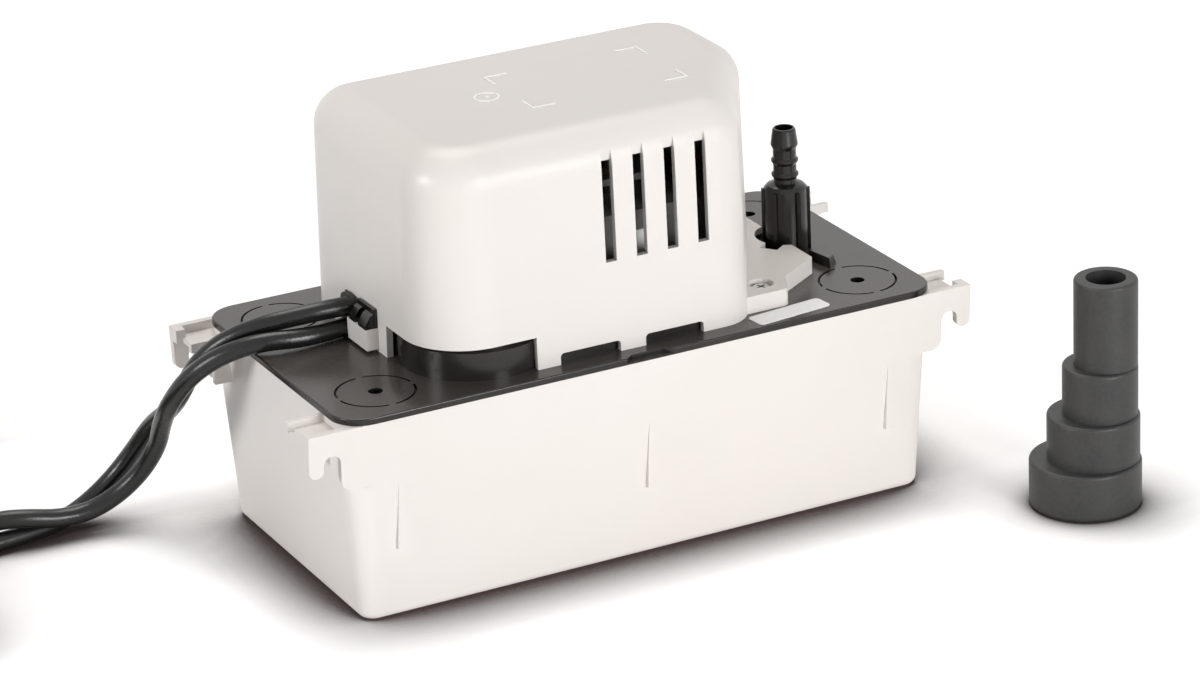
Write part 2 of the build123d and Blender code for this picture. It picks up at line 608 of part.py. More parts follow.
def make_motor_cover():
    outside, inside = cover_shell()
    plan = flange_outline()
    base = Pos(0, 0, DECK_Z)
    flange = extrude(base * plan, amount=FLANGE_HEIGHT)
    hollow = extrude(base * offset(plan, amount=-FLANGE_WALL), amount=FLANGE_HEIGHT - FLANGE_PLATE)
    boss = rod(SCREW_X, -SCREW_Y, above_deck((0, FLANGE_HEIGHT - 1)), SCREW_BOSS)
    wall_x = (COVER_LEFT - BLOCK_REACH, COVER_LEFT + 1.0)
    shell = (outside + flange) - hollow + block(wall_x, BLOCK_Y, above_deck((BLOCK_BOTTOM, BLOCK_TOP)))
    shell = (shell - inside) + boss

    # Fork round the discharge adapter, room for its keepers and lugs, and the notch
    # that lets a lug drop in.
    shell = shell - rod(ADAPTER_X, 0, above_deck((-1, 20)), FORK_RADIUS)
    shell = shell - keeper_block(180, 0.5, KEEPER_TOP + 0.4)
    shell = shell - tube(ADAPTER_X, 0, above_deck((-1, LUG_Z[1] + 0.5)), LUG_RADIUS + 0.8, 5.0)
    notch = block((0, LUG_RADIUS + 0.9), (-LUG_WIDTH / 2 - 0.5, LUG_WIDTH / 2 + 0.5),
                  above_deck((-1, 20)))
    shell = shell - Pos(ADAPTER_X, 0, 0) * (Rot(0, 0, LUG_ANGLE - LUG_TURN) * notch)

    # Vents, notches in the skirt, the big cut-out at the tower and the cord door.
    for i in range(VENT_COUNT):
        x = VENT_FIRST_X + i * VENT_PITCH
        shell = shell - block((x, x + VENT_WIDTH),
                              (-COVER_HALF_WIDTH - 2, -COVER_HALF_WIDTH + VENT_DEPTH),
                              above_deck((VENT_BOTTOM, VENT_TOP)))
        shell = shell - vent_pocket(x)
    for left, right in NOTCHES:
        opening = extrude(Plane.XZ * (Pos((left + right) / 2, DECK_Z) * RectangleRounded(
            right - left, 2 * NOTCH_HEIGHT, NOTCH_RADIUS)), amount=2 * COVER_HALF_WIDTH, both=True)
        shell = shell - opening
    shell = shell - block((COVER_LEFT - 5, CUTOUT_RIGHT), (-COVER_HALF_WIDTH - 5, CUTOUT_BACK),
                          above_deck((-1, CUTOUT_HEIGHT)))
    shell = shell - block((COVER_LEFT - 5, COVER_LEFT + 5), CORD_DOOR, above_deck((-1, CORD_DOOR_HEIGHT)))

    shell = shell - rod(SCREW_X, -SCREW_Y, above_deck((-1, 20)), SCREW_RADIUS + 0.2)
    shell = shell - rod(SCREW_X, -SCREW_Y,
                        above_deck((FLANGE_HEIGHT - SCREW_SINK_DEPTH, 8)), SCREW_SINK_RADIUS)
    return shell + cover_marks()


def make_cover_screw():
    """The pan-head screw that holds the flange's front ear to the lid."""
    head_z = FLANGE_HEIGHT - SCREW_SINK_DEPTH
    shank = rod(0, 0, above_deck((head_z - SCREW_LENGTH + 6, head_z)), SCREW_RADIUS - 0.05)
    head = rod(0, 0, above_deck((head_z, head_z + 2.2)), SCREW_HEAD_RADIUS)
    head = fillet(head.edges().group_by(Axis.Z)[-1], 0.9)
    arm = block((-2.0, 2.0), (-0.45, 0.45), above_deck((head_z + 1.0, head_z + 3)))
    cross = arm + Rot(0, 0, 90) * arm
    return Pos(SCREW_X, -SCREW_Y, 0) * (Rot(0, 0, 20) * ((head - cross) + shank))


def make_cord_clamp():
    """The black wedge that is pushed down over the cords, two teeth on a back plate."""
    wall = COVER_LEFT
    low = DECK_Z + BLOCK_TOP
    plate = block((wall - 1.3, wall - 0.05), (-8.6, 5.6), (low, low + 7.2))
    tooth = make_face(Polyline((wall - 0.6, low), (wall - BLOCK_REACH, low),
                               (wall - BLOCK_REACH - 0.1, low + 1.2), (wall - 2.7, low + 4.7),
                               (wall - 1.2, low + 5.4), (wall - 0.6, low + 5.4), close=True))
    tooth = Plane.XZ * tooth
    near = extrude(Pos(0, -2.2, 0) * tooth, amount=6.2)
    far = extrude(Pos(0, 5.6, 0) * tooth, amount=4.6)
    return plate + near + far


def make_cord_grommet():
    """The rubber plug in the cord door, where both cords leave."""
    inner = block((COVER_LEFT + 0.2, COVER_LEFT + 4.0), (CORD_DOOR[0] + 0.1, CORD_DOOR[1] - 0.1),
                  above_deck((0.1, CORD_DOOR_HEIGHT - 0.1)))
    collar = block((CORD_EXIT_X, COVER_LEFT - 0.1), (CORD_DOOR[0] + 0.1, CORD_DOOR[1] + 0.4),
                   above_deck((0.1, CORD_DOOR_HEIGHT + 0.4)))
    collar = fillet(collar.edges().filter_by(Axis.X).group_by(Axis.Z)[-1], GROMMET_CORNER)
    neck = block((COVER_LEFT - 0.3, COVER_LEFT + 0.4), (CORD_DOOR[0] + 0.1, CORD_DOOR[1] - 0.1),
                 above_deck((0.1, CORD_DOOR_HEIGHT - 0.1)))
    return inner + neck + collar


def make_discharge_adapter():
    deck = DECK_Z
    barbs = [(HOSE_BORE, ADAPTER_TOP_Z), (HOSE_NECK - 0.4, ADAPTER_TOP_Z),
             (HOSE_NECK, ADAPTER_TOP_Z - 0.6), (HOSE_BARB, 43.3), (HOSE_BARB, 42.6),
             (HOSE_NECK, 41.0), (HOSE_NECK, 37.6), (HOSE_BARB, 36.9), (HOSE_BARB, 36.2),
             (HOSE_NECK, 35.0), (HOSE_NECK, 32.0), (HOSE_BARB, 31.3), (HOSE_BARB, 30.6),
             (HOSE_NECK, 29.4), (HOSE_NECK, 27.8)]
    body = [(ADAPTER_RADIUS - 1.2, ADAPTER_SHOULDER_Z), (ADAPTER_RADIUS, ADAPTER_SHOULDER_Z - 1.2),
            (ADAPTER_RADIUS + 0.1, 0.3), (SPIGOT_RADIUS, 0.3), (SPIGOT_RADIUS, -SPIGOT_DEPTH),
            (VALVE_SEAT_BORE, -SPIGOT_DEPTH), (VALVE_SEAT_BORE, -6.0), (VALVE_BORE, -3.4),
            (VALVE_BORE, 20.0), (HOSE_BORE, 23.0)]
    shape = turned([(r, deck + z) for r, z in barbs + body], ADAPTER_X)
    for i in range(ADAPTER_RIBS):
        rib = block((ADAPTER_RADIUS - 0.8, ADAPTER_RADIUS + ADAPTER_RIB), (-0.8, 0.8),
                    above_deck((0.3, ADAPTER_SHOULDER_Z - 1.6)))
        shape = shape + Pos(ADAPTER_X, 0, 0) * (Rot(0, 0, -26.5 + 360 / ADAPTER_RIBS * i) * rib)
    for turn in (0, 180):
        lug = block((ADAPTER_RADIUS - 0.6, LUG_RADIUS), (-LUG_WIDTH / 2, LUG_WIDTH / 2),
                    above_deck(LUG_Z))
        shape = shape + Pos(ADAPTER_X, 0, 0) * (Rot(0, 0, LUG_ANGLE + turn) * lug)
    # A crossbar in the bore stops the ball.
    ball_z = ball_height()
    stop = deck + ball_z + BALL_RADIUS + BALL_LIFT + 0.2
    bar = block((ADAPTER_X - VALVE_BORE - 0.4, ADAPTER_X + VALVE_BORE + 0.4), (-0.8, 0.8),
                (stop, stop + 2.0))
    groove = tube(ADAPTER_X, 0, above_deck((-7.4, -5.0)), SPIGOT_RADIUS + 1, SPIGOT_RADIUS - 1.2)
    return (shape + bar) - groove


def ball_height():
    """Height of the resting ball's centre above the lid, on its conical seat."""
    cone = math.atan2(2.6, VALVE_BORE - VALVE_SEAT_BORE)
    low = -6.0
    return low - math.tan(cone) * VALVE_SEAT_BORE + (BALL_RADIUS + SEAT_GAP) / math.cos(cone)


def make_adapter_oring():
    ring = Torus(SPIGOT_RADIUS - 0.48, 0.68)
    return Pos(ADAPTER_X, 0, DECK_Z - 6.2) * ring


def make_check_ball():
    return Pos(ADAPTER_X, 0, DECK_Z + ball_height()) * Sphere(BALL_RADIUS)


def volute_ears():
    """Centres of the screw ears round the volute."""
    reach = VOLUTE_RADIUS + 1.5
    angles = [math.radians(VOLUTE_EAR_DEG + 360 / VOLUTE_EARS * i) for i in range(VOLUTE_EARS)]
    return [(MOTOR_X + reach * math.cos(a), MOTOR_Y + reach * math.sin(a)) for a in angles]


def make_volute():
    low, high = VOLUTE_Z
    throat_y = MOTOR_Y + THROAT_OFFSET
    body = rod(MOTOR_X, MOTOR_Y, (low, high), VOLUTE_RADIUS)
    spout = Pos(0, throat_y, THROAT_Z) * (Rot(0, 90, 0) * Cylinder(
        THROAT_BORE + THROAT_WALL, SPOUT_END - MOTOR_X, align=(Align.CENTER, Align.CENTER, Align.MIN)))
    body = body + Pos(MOTOR_X, 0, 0) * spout
    throat = Pos(MOTOR_X, throat_y, THROAT_Z) * (Rot(0, 90, 0) * Cylinder(
        THROAT_BORE, SPOUT_END - MOTOR_X + 1, align=(Align.CENTER, Align.CENTER, Align.MIN)))
    for x, y in volute_ears():
        body = body + rod(x, y, (low, high), VOLUTE_EAR_RADIUS)
    body = body - rod(MOTOR_X, MOTOR_Y, (low - 1, VOLUTE_CHAMBER[1]), VOLUTE_BORE)
    body = body - throat - rod(MOTOR_X, MOTOR_Y, (low, high + 1), SHAFT_RADIUS + 1.0)
    for x, y in volute_ears():
        body = body - rod(x, y, (low - 1, low + VOLUTE_SCREW_DEPTH), VOLUTE_SCREW_HOLE)
    return body


def make_volute_cover():
    """The plate under the volute with the intake and its strainer bars."""
    high = VOLUTE_Z[0]
    low = high - PLATE_THICK
    plate = rod(MOTOR_X, MOTOR_Y, (low, high), VOLUTE_RADIUS)
    plate = plate + rod(MOTOR_X, MOTOR_Y, (high - 0.1, VOLUTE_CHAMBER[0]), VOLUTE_BORE - 0.15)
    for x, y in volute_ears():
        plate = plate + rod(x, y, (low, high), VOLUTE_EAR_RADIUS)
        plate = plate - rod(x, y, (low - 1, high + 1), VOLUTE_SCREW_HOLE + 0.2)
    hole = rod(MOTOR_X, MOTOR_Y, (0, 20), INTAKE_RADIUS)
    bars = block((MOTOR_X - INTAKE_RADIUS - 1, MOTOR_X + INTAKE_RADIUS + 1),
                 (MOTOR_Y - 0.7, MOTOR_Y + 0.7), (low, low + 1.4))
    bars = bars + block((MOTOR_X - 0.7, MOTOR_X + 0.7),
                        (MOTOR_Y - INTAKE_RADIUS - 1, MOTOR_Y + INTAKE_RADIUS + 1), (low, low + 1.4))
    return (plate - hole) + bars


def make_volute_screws():
    screws = []
    low = VOLUTE_Z[0] - PLATE_THICK
    for x, y in volute_ears():
        head = rod(x, y, (low - VOLUTE_SCREW_HEAD[1], low), VOLUTE_SCREW_HEAD[0])
        screws.append(single(head + rod(x, y, (low - 0.2, low + VOLUTE_SCREW[1]), VOLUTE_SCREW[0])))
    return Compound(children=screws)


def make_pump_column():
    """The tube that hangs the pump below the lid, with drain windows round the shaft."""
    low, high = VOLUTE_Z[1], TANK_HEIGHT
    column = rod(MOTOR_X, MOTOR_Y, (low, high), COLUMN_RADIUS)
    for z in ((low, low + 3), (high - 3, high)):
        column = column + rod(MOTOR_X, MOTOR_Y, z, COLUMN_FLANGE)
    column = column - rod(MOTOR_X, MOTOR_Y, (low - 1, high + 1), COLUMN_BORE)
    for i in range(COLUMN_WINDOWS):
        window = block((0, COLUMN_RADIUS + 2), (-3, 3), (low + 9, high - 22))
        column = column - Pos(MOTOR_X, MOTOR_Y, 0) * (Rot(0, 0, 360 / COLUMN_WINDOWS * i) * window)
    return column


def make_impeller():
    """Open impeller: a back disc, a hub and curved vanes on its lower face."""
    low, high = IMPELLER_Z
    disc = rod(MOTOR_X, MOTOR_Y, (high - 1.6, high), IMPELLER_RADIUS)
    hub = rod(MOTOR_X, MOTOR_Y, (low, high), 4.5)
    wheel = disc + hub
    sweep_radius = 13.0
    for i in range(IMPELLER_VANES):
        arc = Pos(0, sweep_radius) * Circle(sweep_radius + 0.7)
        arc = arc - Pos(0, sweep_radius) * Circle(sweep_radius - 0.7)
        arc = arc & Circle(IMPELLER_RADIUS)
        arc = arc & (Pos(IMPELLER_RADIUS / 2 + 1, 0) * Rectangle(IMPELLER_RADIUS, 60))
        vane = extrude(Pos(0, 0, low) * arc, amount=high - 1.0 - low)
        wheel = wheel + Pos(MOTOR_X, MOTOR_Y, 0) * (Rot(0, 0, 360 / IMPELLER_VANES * i) * vane)
    return wheel - rod(MOTOR_X, MOTOR_Y, (low + 2, high + 1), SHAFT_RADIUS)


def make_shaft():
    low = IMPELLER_Z[0] + 2
    return rod(MOTOR_X, MOTOR_Y, (low, DECK_Z + SHAFT_TOP), SHAFT_RADIUS)


def on_shaft(z, radius):
    """A disc or sleeve pressed on the shaft."""
    return tube(MOTOR_X, MOTOR_Y, above_deck(z), radius, SHAFT_RADIUS)


def make_cooling_fan():
    low, high = FAN_Z
    fan = rod(MOTOR_X, MOTOR_Y, above_deck((low, high - 0.5)), 6.0)
    middle = DECK_Z + (low + high) / 2
    for i in range(FAN_BLADES):
        blade = Pos((FAN_RADIUS + 4) / 2, 0, 0) * (Rot(32, 0, 0) * Box(FAN_RADIUS - 4, 10.0, 1.2))
        blade = Rot(0, 0, 360 / FAN_BLADES * i) * blade
        fan = fan + Pos(MOTOR_X, MOTOR_Y, middle) * blade
    return fan - rod(MOTOR_X, MOTOR_Y, above_deck((low - 5, high + 5)), SHAFT_RADIUS)


def bracket(face_z, away):
    """A pressed bridge across the stack's bore; away is +1 above it and -1 below."""
    t = BRACKET_THICK * away
    rise = BRACKET_RISE * away
    z = DECK_Z + face_z
    left, right = MOTOR_X - BOLT_OFFSET - 5, MOTOR_X + BOLT_OFFSET + 5
    inner_l, inner_r = MOTOR_X - BRACKET_WAIST, MOTOR_X + BRACKET_WAIST
    w = BRACKET_THICK
    profile = [(left, z), (inner_l + w, z), (inner_l + w, z + rise), (inner_r - w, z + rise),
               (inner_r - w, z), (right, z), (right, z + t), (inner_r, z + t),
               (inner_r, z + rise + t), (inner_l, z + rise + t), (inner_l, z + t), (left, z + t)]
    face = Plane.XZ * make_face(Polyline(*profile, close=True))
    bridge = extrude(Pos(0, MOTOR_Y + BRACKET_HALF, 0) * face, amount=2 * BRACKET_HALF)
    bridge = bridge - rod(MOTOR_X, MOTOR_Y, (z - 20, z + 20), BEARING_RADIUS)
    for side in (-1, 1):
        bridge = bridge - rod(MOTOR_X + side * BOLT_OFFSET, MOTOR_Y, (z - 10, z + 10), BOLT_RADIUS + 0.1)
    return bridge


def bearing(face_z, away):
    """A sintered bush in the middle of a bracket."""
    middle = face_z + away * (BRACKET_RISE + BRACKET_THICK / 2)
    z = (middle - BEARING_LENGTH / 2, middle + BEARING_LENGTH / 2)
    return tube(MOTOR_X, MOTOR_Y, above_deck(z), BEARING_RADIUS, SHAFT_RADIUS + RUNNING_GAP)


def make_stator():
    """Laminated frame: a bore for the rotor in front and a leg for the coil behind."""
    z = above_deck(STACK_Z)
    frame = block(STACK_X, STACK_Y, z)
    frame = fillet(frame.edges().filter_by(Axis.Z), 4.0)
    window = block((STACK_X[0] + STACK_LEG, STACK_X[1] - STACK_LEG),
                   (WINDOW_FRONT, STACK_Y[1] - STACK_LEG), z)
    frame = frame - window - rod(MOTOR_X, MOTOR_Y, z, ROTOR_RADIUS + AIR_GAP)
    for side in (-1, 1):
        frame = frame - rod(MOTOR_X + side * BOLT_OFFSET, MOTOR_Y, z, BOLT_RADIUS + 0.1)
    return frame


def coil_box(grow, shrink_x):
    """A block round the coil leg, grown outwards from the leg's own section."""
    return block((STACK_X[0] + STACK_LEG + shrink_x, STACK_X[1] - STACK_LEG - shrink_x),
                 (STACK_Y[1] - STACK_LEG - grow, STACK_Y[1] + grow),
                 (DECK_Z + STACK_Z[0] - grow, DECK_Z + STACK_Z[1] + grow))


def make_coil_bobbin():
    gap = 0.1
    core = coil_box(gap + BOBBIN_WALL, gap)
    cheeks = coil_box(COIL_BUILD + 0.6, gap) - coil_box(COIL_BUILD + 3, gap + BOBBIN_WALL)
    return (core + cheeks) - coil_box(gap, -5)


def make_coil_winding():
    shrink = 0.1 + BOBBIN_WALL
    wound = coil_box(COIL_BUILD, shrink)
    wound = fillet(wound.edges().filter_by(Axis.X), 5.0)
    return wound - coil_box(0.1 + BOBBIN_WALL, -5)


def make_motor_bolts():
    bolts = []
    head = STACK_Z[1] + BRACKET_THICK
    for side in (-1, 1):
        x = MOTOR_X + side * BOLT_OFFSET
        shank = rod(x, MOTOR_Y, above_deck((STACK_Z[0] - BOLT_REACH, head + 0.5)),
                    BOLT_THREAD_RADIUS)
        shank = shank + rod(x, MOTOR_Y, above_deck((STACK_Z[0] - BRACKET_THICK, head)), BOLT_RADIUS)
        cap = rod(x, MOTOR_Y, above_deck((head, head + BOLT_HEAD[1])), BOLT_HEAD[0])
        cap = fillet(cap.edges().group_by(Axis.Z)[-1], 0.8)
        bolts.append(single(shank + cap))
    return Compound(children=bolts)


def make_riser_pipe():
    """From the volute's spout along the tank, up to the socket under the lid."""
    start = SPOUT_END - 8.0
    path = FilletPolyline((start, 0, THROAT_Z), (ADAPTER_X, 0, THROAT_Z),
                          (ADAPTER_X, 0, DECK_Z - SOCKET_DEPTH - 1.0), radius=14.0)
    outer_r = THROAT_BORE + THROAT_WALL
    section = Plane(origin=(start, 0, THROAT_Z), x_dir=(0, 1, 0), z_dir=(1, 0, 0))
    pipe = sweep(section * Circle(outer_r), path=path)
    sleeve = Pos(start, 0, THROAT_Z) * (Rot(0, 90, 0) * Cylinder(
        outer_r + 2.0, 10.0, align=(Align.CENTER, Align.CENTER, Align.MIN)))
    socket = SPIGOT_RADIUS + SOCKET_CLEAR + SOCKET_WALL
    cup_low = DECK_Z - SOCKET_DEPTH - 3.0
    cup = rod(ADAPTER_X, 0, (cup_low, DECK_Z - SOCKET_DEPTH + RISER_CUP), socket + 2.0)
    bore = sweep(section * Circle(THROAT_BORE), path=path)
    entry = Pos(start - 1, 0, THROAT_Z) * (Rot(0, 90, 0) * Cylinder(
        outer_r + 0.05, 9.05, align=(Align.CENTER, Align.CENTER, Align.MIN)))
    top = rod(ADAPTER_X, 0, (DECK_Z - SOCKET_DEPTH - 0.1, DECK_Z), socket + 0.05)
    return (pipe + sleeve + cup) - bore - entry - top


def make_float():
    low, high = FLOAT_Z
    body = rod(TOWER_X, TOWER_Y, (low, high), FLOAT_RADIUS)
    body = fillet(body.edges().group_by(Axis.Z)[-1] + body.edges().group_by(Axis.Z)[0], 2.5)
    return body - rod(TOWER_X, TOWER_Y, (low + 4, high + 1), STEM_RADIUS)


def make_float_stem():
    return rod(TOWER_X, TOWER_Y, (FLOAT_Z[0] + 4, DECK_Z + COLLAR_Z[1] - 0.6), STEM_RADIUS)


def make_float_collar():
    collar = rod(TOWER_X, TOWER_Y, above_deck(COLLAR_Z), COLLAR_RADIUS)
    return collar - rod(TOWER_X, TOWER_Y, above_deck((COLLAR_Z[0] - 1, COLLAR_Z[1] - 0.6)), STEM_RADIUS)


def make_switch_bracket():
    """A folded plate on the tower's roof that carries both switches."""
    back = SWITCH_Y + SWITCH_SIZE[1] / 2
    roof = DECK_Z + TOWER_HEIGHT
    y = (back, back + BRACKET_PLATE)
    upright = block((TOWER_X - BRACKET_PLATE_HALF, TOWER_X + BRACKET_PLATE_HALF), y,
                    (roof, DECK_Z + SWITCH_BOTTOM + BRACKET_PLATE_TOP))
    foot = block((TOWER_X - BRACKET_FOOT[0], TOWER_X + BRACKET_FOOT[0]), (back, back + BRACKET_FOOT[1]),
                 (roof, roof + BRACKET_PLATE))
    return upright + foot


def switch_body(side):
    """One snap-action switch, button down; side is -1 left of the stem and +1 right of it."""
    length, width, height = SWITCH_SIZE
    near = TOWER_X + side * SWITCH_INNER
    x = sorted((near, near + side * length))
    z = (DECK_Z + SWITCH_BOTTOM, DECK_Z + SWITCH_BOTTOM + height)
    body = block(x, (SWITCH_Y - width / 2, SWITCH_Y + width / 2), z)
    for i in range(3):
        tag = x[0] + 3.2 + i * 6.4
        body = body + block((tag, tag + 0.8), (SWITCH_Y - 1.5, SWITCH_Y + 1.5), (z[1] - 0.5, z[1] + 4))
    pivot_x = near + side * (length - 1.0)
    ears = block((pivot_x - 0.9, pivot_x + 0.9), (SWITCH_Y - width / 2, SWITCH_Y - LEVER_WIDTH / 2 - 0.1),
                 (DECK_Z + LEVER_PIVOT_Z - 0.9, z[0] + 0.1))
    ears = ears + mirror(ears, Plane.XZ.offset(-SWITCH_Y))
    for end in (x[0] + 5.1, x[1] - 5.1):
        hole = Pos(end, SWITCH_Y, z[0] + 3) * (Rot(90, 0, 0) * Cylinder(1.1, 20))
        body = body - hole
    well = rod(near + side * (length - 1.0 - BUTTON_OFFSET), SWITCH_Y, (z[0] - 1, z[0] + 3),
               BUTTON_RADIUS + 0.05)
    return body + ears - well


def switch_lever(side):
    """The thin sprung arm under a switch, drooping towards the stem at rest."""
    near = TOWER_X + side * SWITCH_INNER
    pivot_x = near + side * (SWITCH_SIZE[0] - 1.0)
    arm = block((-LEVER_LENGTH, 0), (-LEVER_WIDTH / 2, LEVER_WIDTH / 2), (-LEVER_THICK / 2, LEVER_THICK / 2))
    arm = arm + Rot(90, 0, 0) * Cylinder(0.6, LEVER_WIDTH)
    if side < 0:
        arm = mirror(arm, Plane.YZ)
    arm = Rot(0, -side * LEVER_DROOP, 0) * arm
    return Pos(pivot_x, SWITCH_Y, DECK_Z + LEVER_PIVOT_Z) * arm


def switch_button(side):
    near = TOWER_X + side * SWITCH_INNER
    x = near + side * (SWITCH_SIZE[0] - 1.0 - BUTTON_OFFSET)
    return rod(x, SWITCH_Y, (DECK_Z + BUTTON_BOTTOM, DECK_Z + SWITCH_BOTTOM + 2.2), BUTTON_RADIUS)


def make_switch_screws():
    """Screws through both switches into the bracket."""
    screws = []
    back = SWITCH_Y + SWITCH_SIZE[1] / 2
    front = SWITCH_Y - SWITCH_SIZE[1] / 2
    for side in (-1, 1):
        near = TOWER_X + side * SWITCH_INNER
        for offset_x in (5.1, SWITCH_SIZE[0] - 5.1):
            x = near + side * offset_x
            z = DECK_Z + SWITCH_BOTTOM + 3
            shank = Pos(x, (front + back) / 2 - 0.2, z) * (Rot(90, 0, 0) * Cylinder(1.05, back - front + 0.4))
            head = Pos(x, front - 0.8, z) * (Rot(90, 0, 0) * Cylinder(2.0, 1.6))
            screws.append(single(shank + head))
    return Compound(children=screws)


def make_terminal_block():
    """Three-way terminal block on the lid, beside the cords."""
    body = block(TERMINAL_X, TERMINAL_Y, above_deck((0, TERMINAL_HEIGHT)))
    middle_y = (TERMINAL_Y[0] + TERMINAL_Y[1]) / 2
    through = TERMINAL_Y[1] - TERMINAL_Y[0] + 2
    for i in range(3):
        x = TERMINAL_X[0] + TERMINAL_PITCH * (i + 0.5)
        body = body - rod(x, middle_y, above_deck((TERMINAL_WELL[1], TERMINAL_HEIGHT + 1)), TERMINAL_WELL[0])
        across = Rot(90, 0, 0) * Cylinder(TERMINAL_HOLE[0], through)
        hole = Pos(x, middle_y, DECK_Z + TERMINAL_HOLE[1]) * across
        body = body - hole
    return body


def make_motor_lead():
    """The red lead from the terminal block round the back and right of the stack to the coil."""
    over = DECK_Z + STACK_Z[1]
    points = [(x, y, DECK_Z + z) for x, y, z in MOTOR_LEAD_LOW]
    points = points + [(x, y, over + z) for x, y, z in MOTOR_LEAD_OVER]
    path = FilletPolyline(*points, radius=MOTOR_LEAD_BEND)
    start = Plane(origin=path @ 0, z_dir=path % 0)
    return sweep(start * Circle(MOTOR_LEAD_RADIUS), path=path)


def make_reducer():
    """Four eccentric steps in soft rubber, hollow right through."""
    body = None
    bore = None
    z = 0.0
    for radius, height, shift in REDUCER_STEPS:
        x = REDUCER_X + REDUCER_LEAN[0] * shift
        y = REDUCER_Y + REDUCER_LEAN[1] * shift
        step = rod(x, y, (z, z + height), radius)
        step = fillet(step.edges().group_by(Axis.Z)[-1], REDUCER_EDGE)
        low = z - REDUCER_WALL - 0.1
        if radius == REDUCER_STEPS[-1][0]:
            hollow = rod(x, y, (low, z + height + 1), radius - 4.4)
        else:
            hollow = rod(x, y, (low, z + height - REDUCER_WALL), radius - REDUCER_WALL)
        if body is None:
            body = fillet(step.edges().group_by(Axis.Z)[0], REDUCER_BASE_EDGE)
            bore = hollow
        else:
            body = body + step
            bore = bore + hollow
        z = z + height
    return body - bore


def cord_route(points):
    """Joins straight runs with the largest arcs they allow, and prints the radii."""
    radii = []
    for before, here, after in zip(points, points[1:], points[2:]):
        run_in = Vector(*here) - Vector(*before)
        run_out = Vector(*after) - Vector(*here)
        turn = math.radians(run_in.get_angle(run_out))
        radii.append(0.45 * min(run_in.length, run_out.length) / math.tan(turn / 2))
    print("cord radii", [round(r, 1) for r in radii])
    return FilletPolyline(*points, radius=radii)


def cord_tube(points):
    path = cord_route(points)
    start = Plane(origin=path @ 0, z_dir=path % 0)
    solid = sweep(start * Circle(CORD_RADIUS), path=path)
    section = math.pi * CORD_RADIUS ** 2
    print("cord length", round(path.length, 1), "volume ratio",
          round(solid.volume / (section * path.length), 4))
    return solid


def coil_outer_radius():
    return COIL_MID_RADIUS + COIL_COLUMNS * CORD_RADIUS + COIL_SLACK


def coil_height():
    return 2 * COIL_LAYERS * CORD_RADIUS + 2 * COIL_SLACK


def coil_centre(points, winding):
    """Centre of a coil whose outermost turn the route's last point touches; the winding is
    +1 where the turns run anticlockwise seen from above."""
    x, y, z = points[-1]
    return x, y - winding * (COIL_MID_RADIUS + (COIL_COLUMNS - 1) * CORD_RADIUS)


def tie_band(points, winding, inner, outer):
    """A band round the coil's section, between two offsets from the wound turns."""
    x, y = coil_centre(points, winding)
    half = COIL_COLUMNS * CORD_RADIUS + COIL_SLACK
    band = block((COIL_MID_RADIUS - half + outer * -1, COIL_MID_RADIUS + half + outer),
                 (-TIE_WIDTH / 2, TIE_WIDTH / 2), (COIL_LIFT - outer, COIL_LIFT + coil_height() + outer))
    band = band - block((COIL_MID_RADIUS - half - inner, COIL_MID_RADIUS + half + inner),
                        (-TIE_WIDTH, TIE_WIDTH), (COIL_LIFT - inner, COIL_LIFT + coil_height() + inner))
    return Pos(x, y, 0) * (Rot(0, 0, TIE_ANGLE) * band)


def coil_tail(points, winding, leaves_at, rise):
    """Start and end of the straight piece of cord that leaves the coil's bottom turn."""
    x, y = coil_centre(points, winding)
    reach = COIL_MID_RADIUS + (COIL_COLUMNS - 1) * CORD_RADIUS
    angle = math.radians(leaves_at)
    start = Vector(x + reach * math.cos(angle), y + reach * math.sin(angle),
                   CORD_RADIUS + COIL_LIFT + COIL_SLACK)
    along = Vector(-math.sin(angle), math.cos(angle), 0) * winding
    return start, start + along * TAIL_LENGTH + Vector(0, 0, rise)


def at_mains_end(piece):
    """Moves a piece that points along +Y from the origin to the end of the mains lead."""
    start, end = coil_tail(MAINS_ROUTE, -1, MAINS_COIL_EXIT, TAIL_RISE)
    return Pos(end.X, end.Y, end.Z) * (Rot(0, 0, MAINS_COIL_EXIT - 180) * piece)


def make_coil(points, winding, leaves_at, rise):
    """The outer shape of the put-away turns, waisted where the tie holds them."""
    x, y = coil_centre(points, winding)
    ring = tube(x, y, (COIL_LIFT, COIL_LIFT + coil_height()), coil_outer_radius(),
                2 * COIL_MID_RADIUS - coil_outer_radius())
    waist = tie_band(points, winding, -TIE_THICK - 0.1, 3)
    start, end = coil_tail(points, winding, leaves_at, rise)
    tail = extrude(Plane(origin=start, z_dir=end - start) * Circle(CORD_RADIUS),
                   amount=(end - start).length)
    return (ring - waist) + tail


def make_coil_tie(points, winding):
    return tie_band(points, winding, -TIE_THICK, 0)


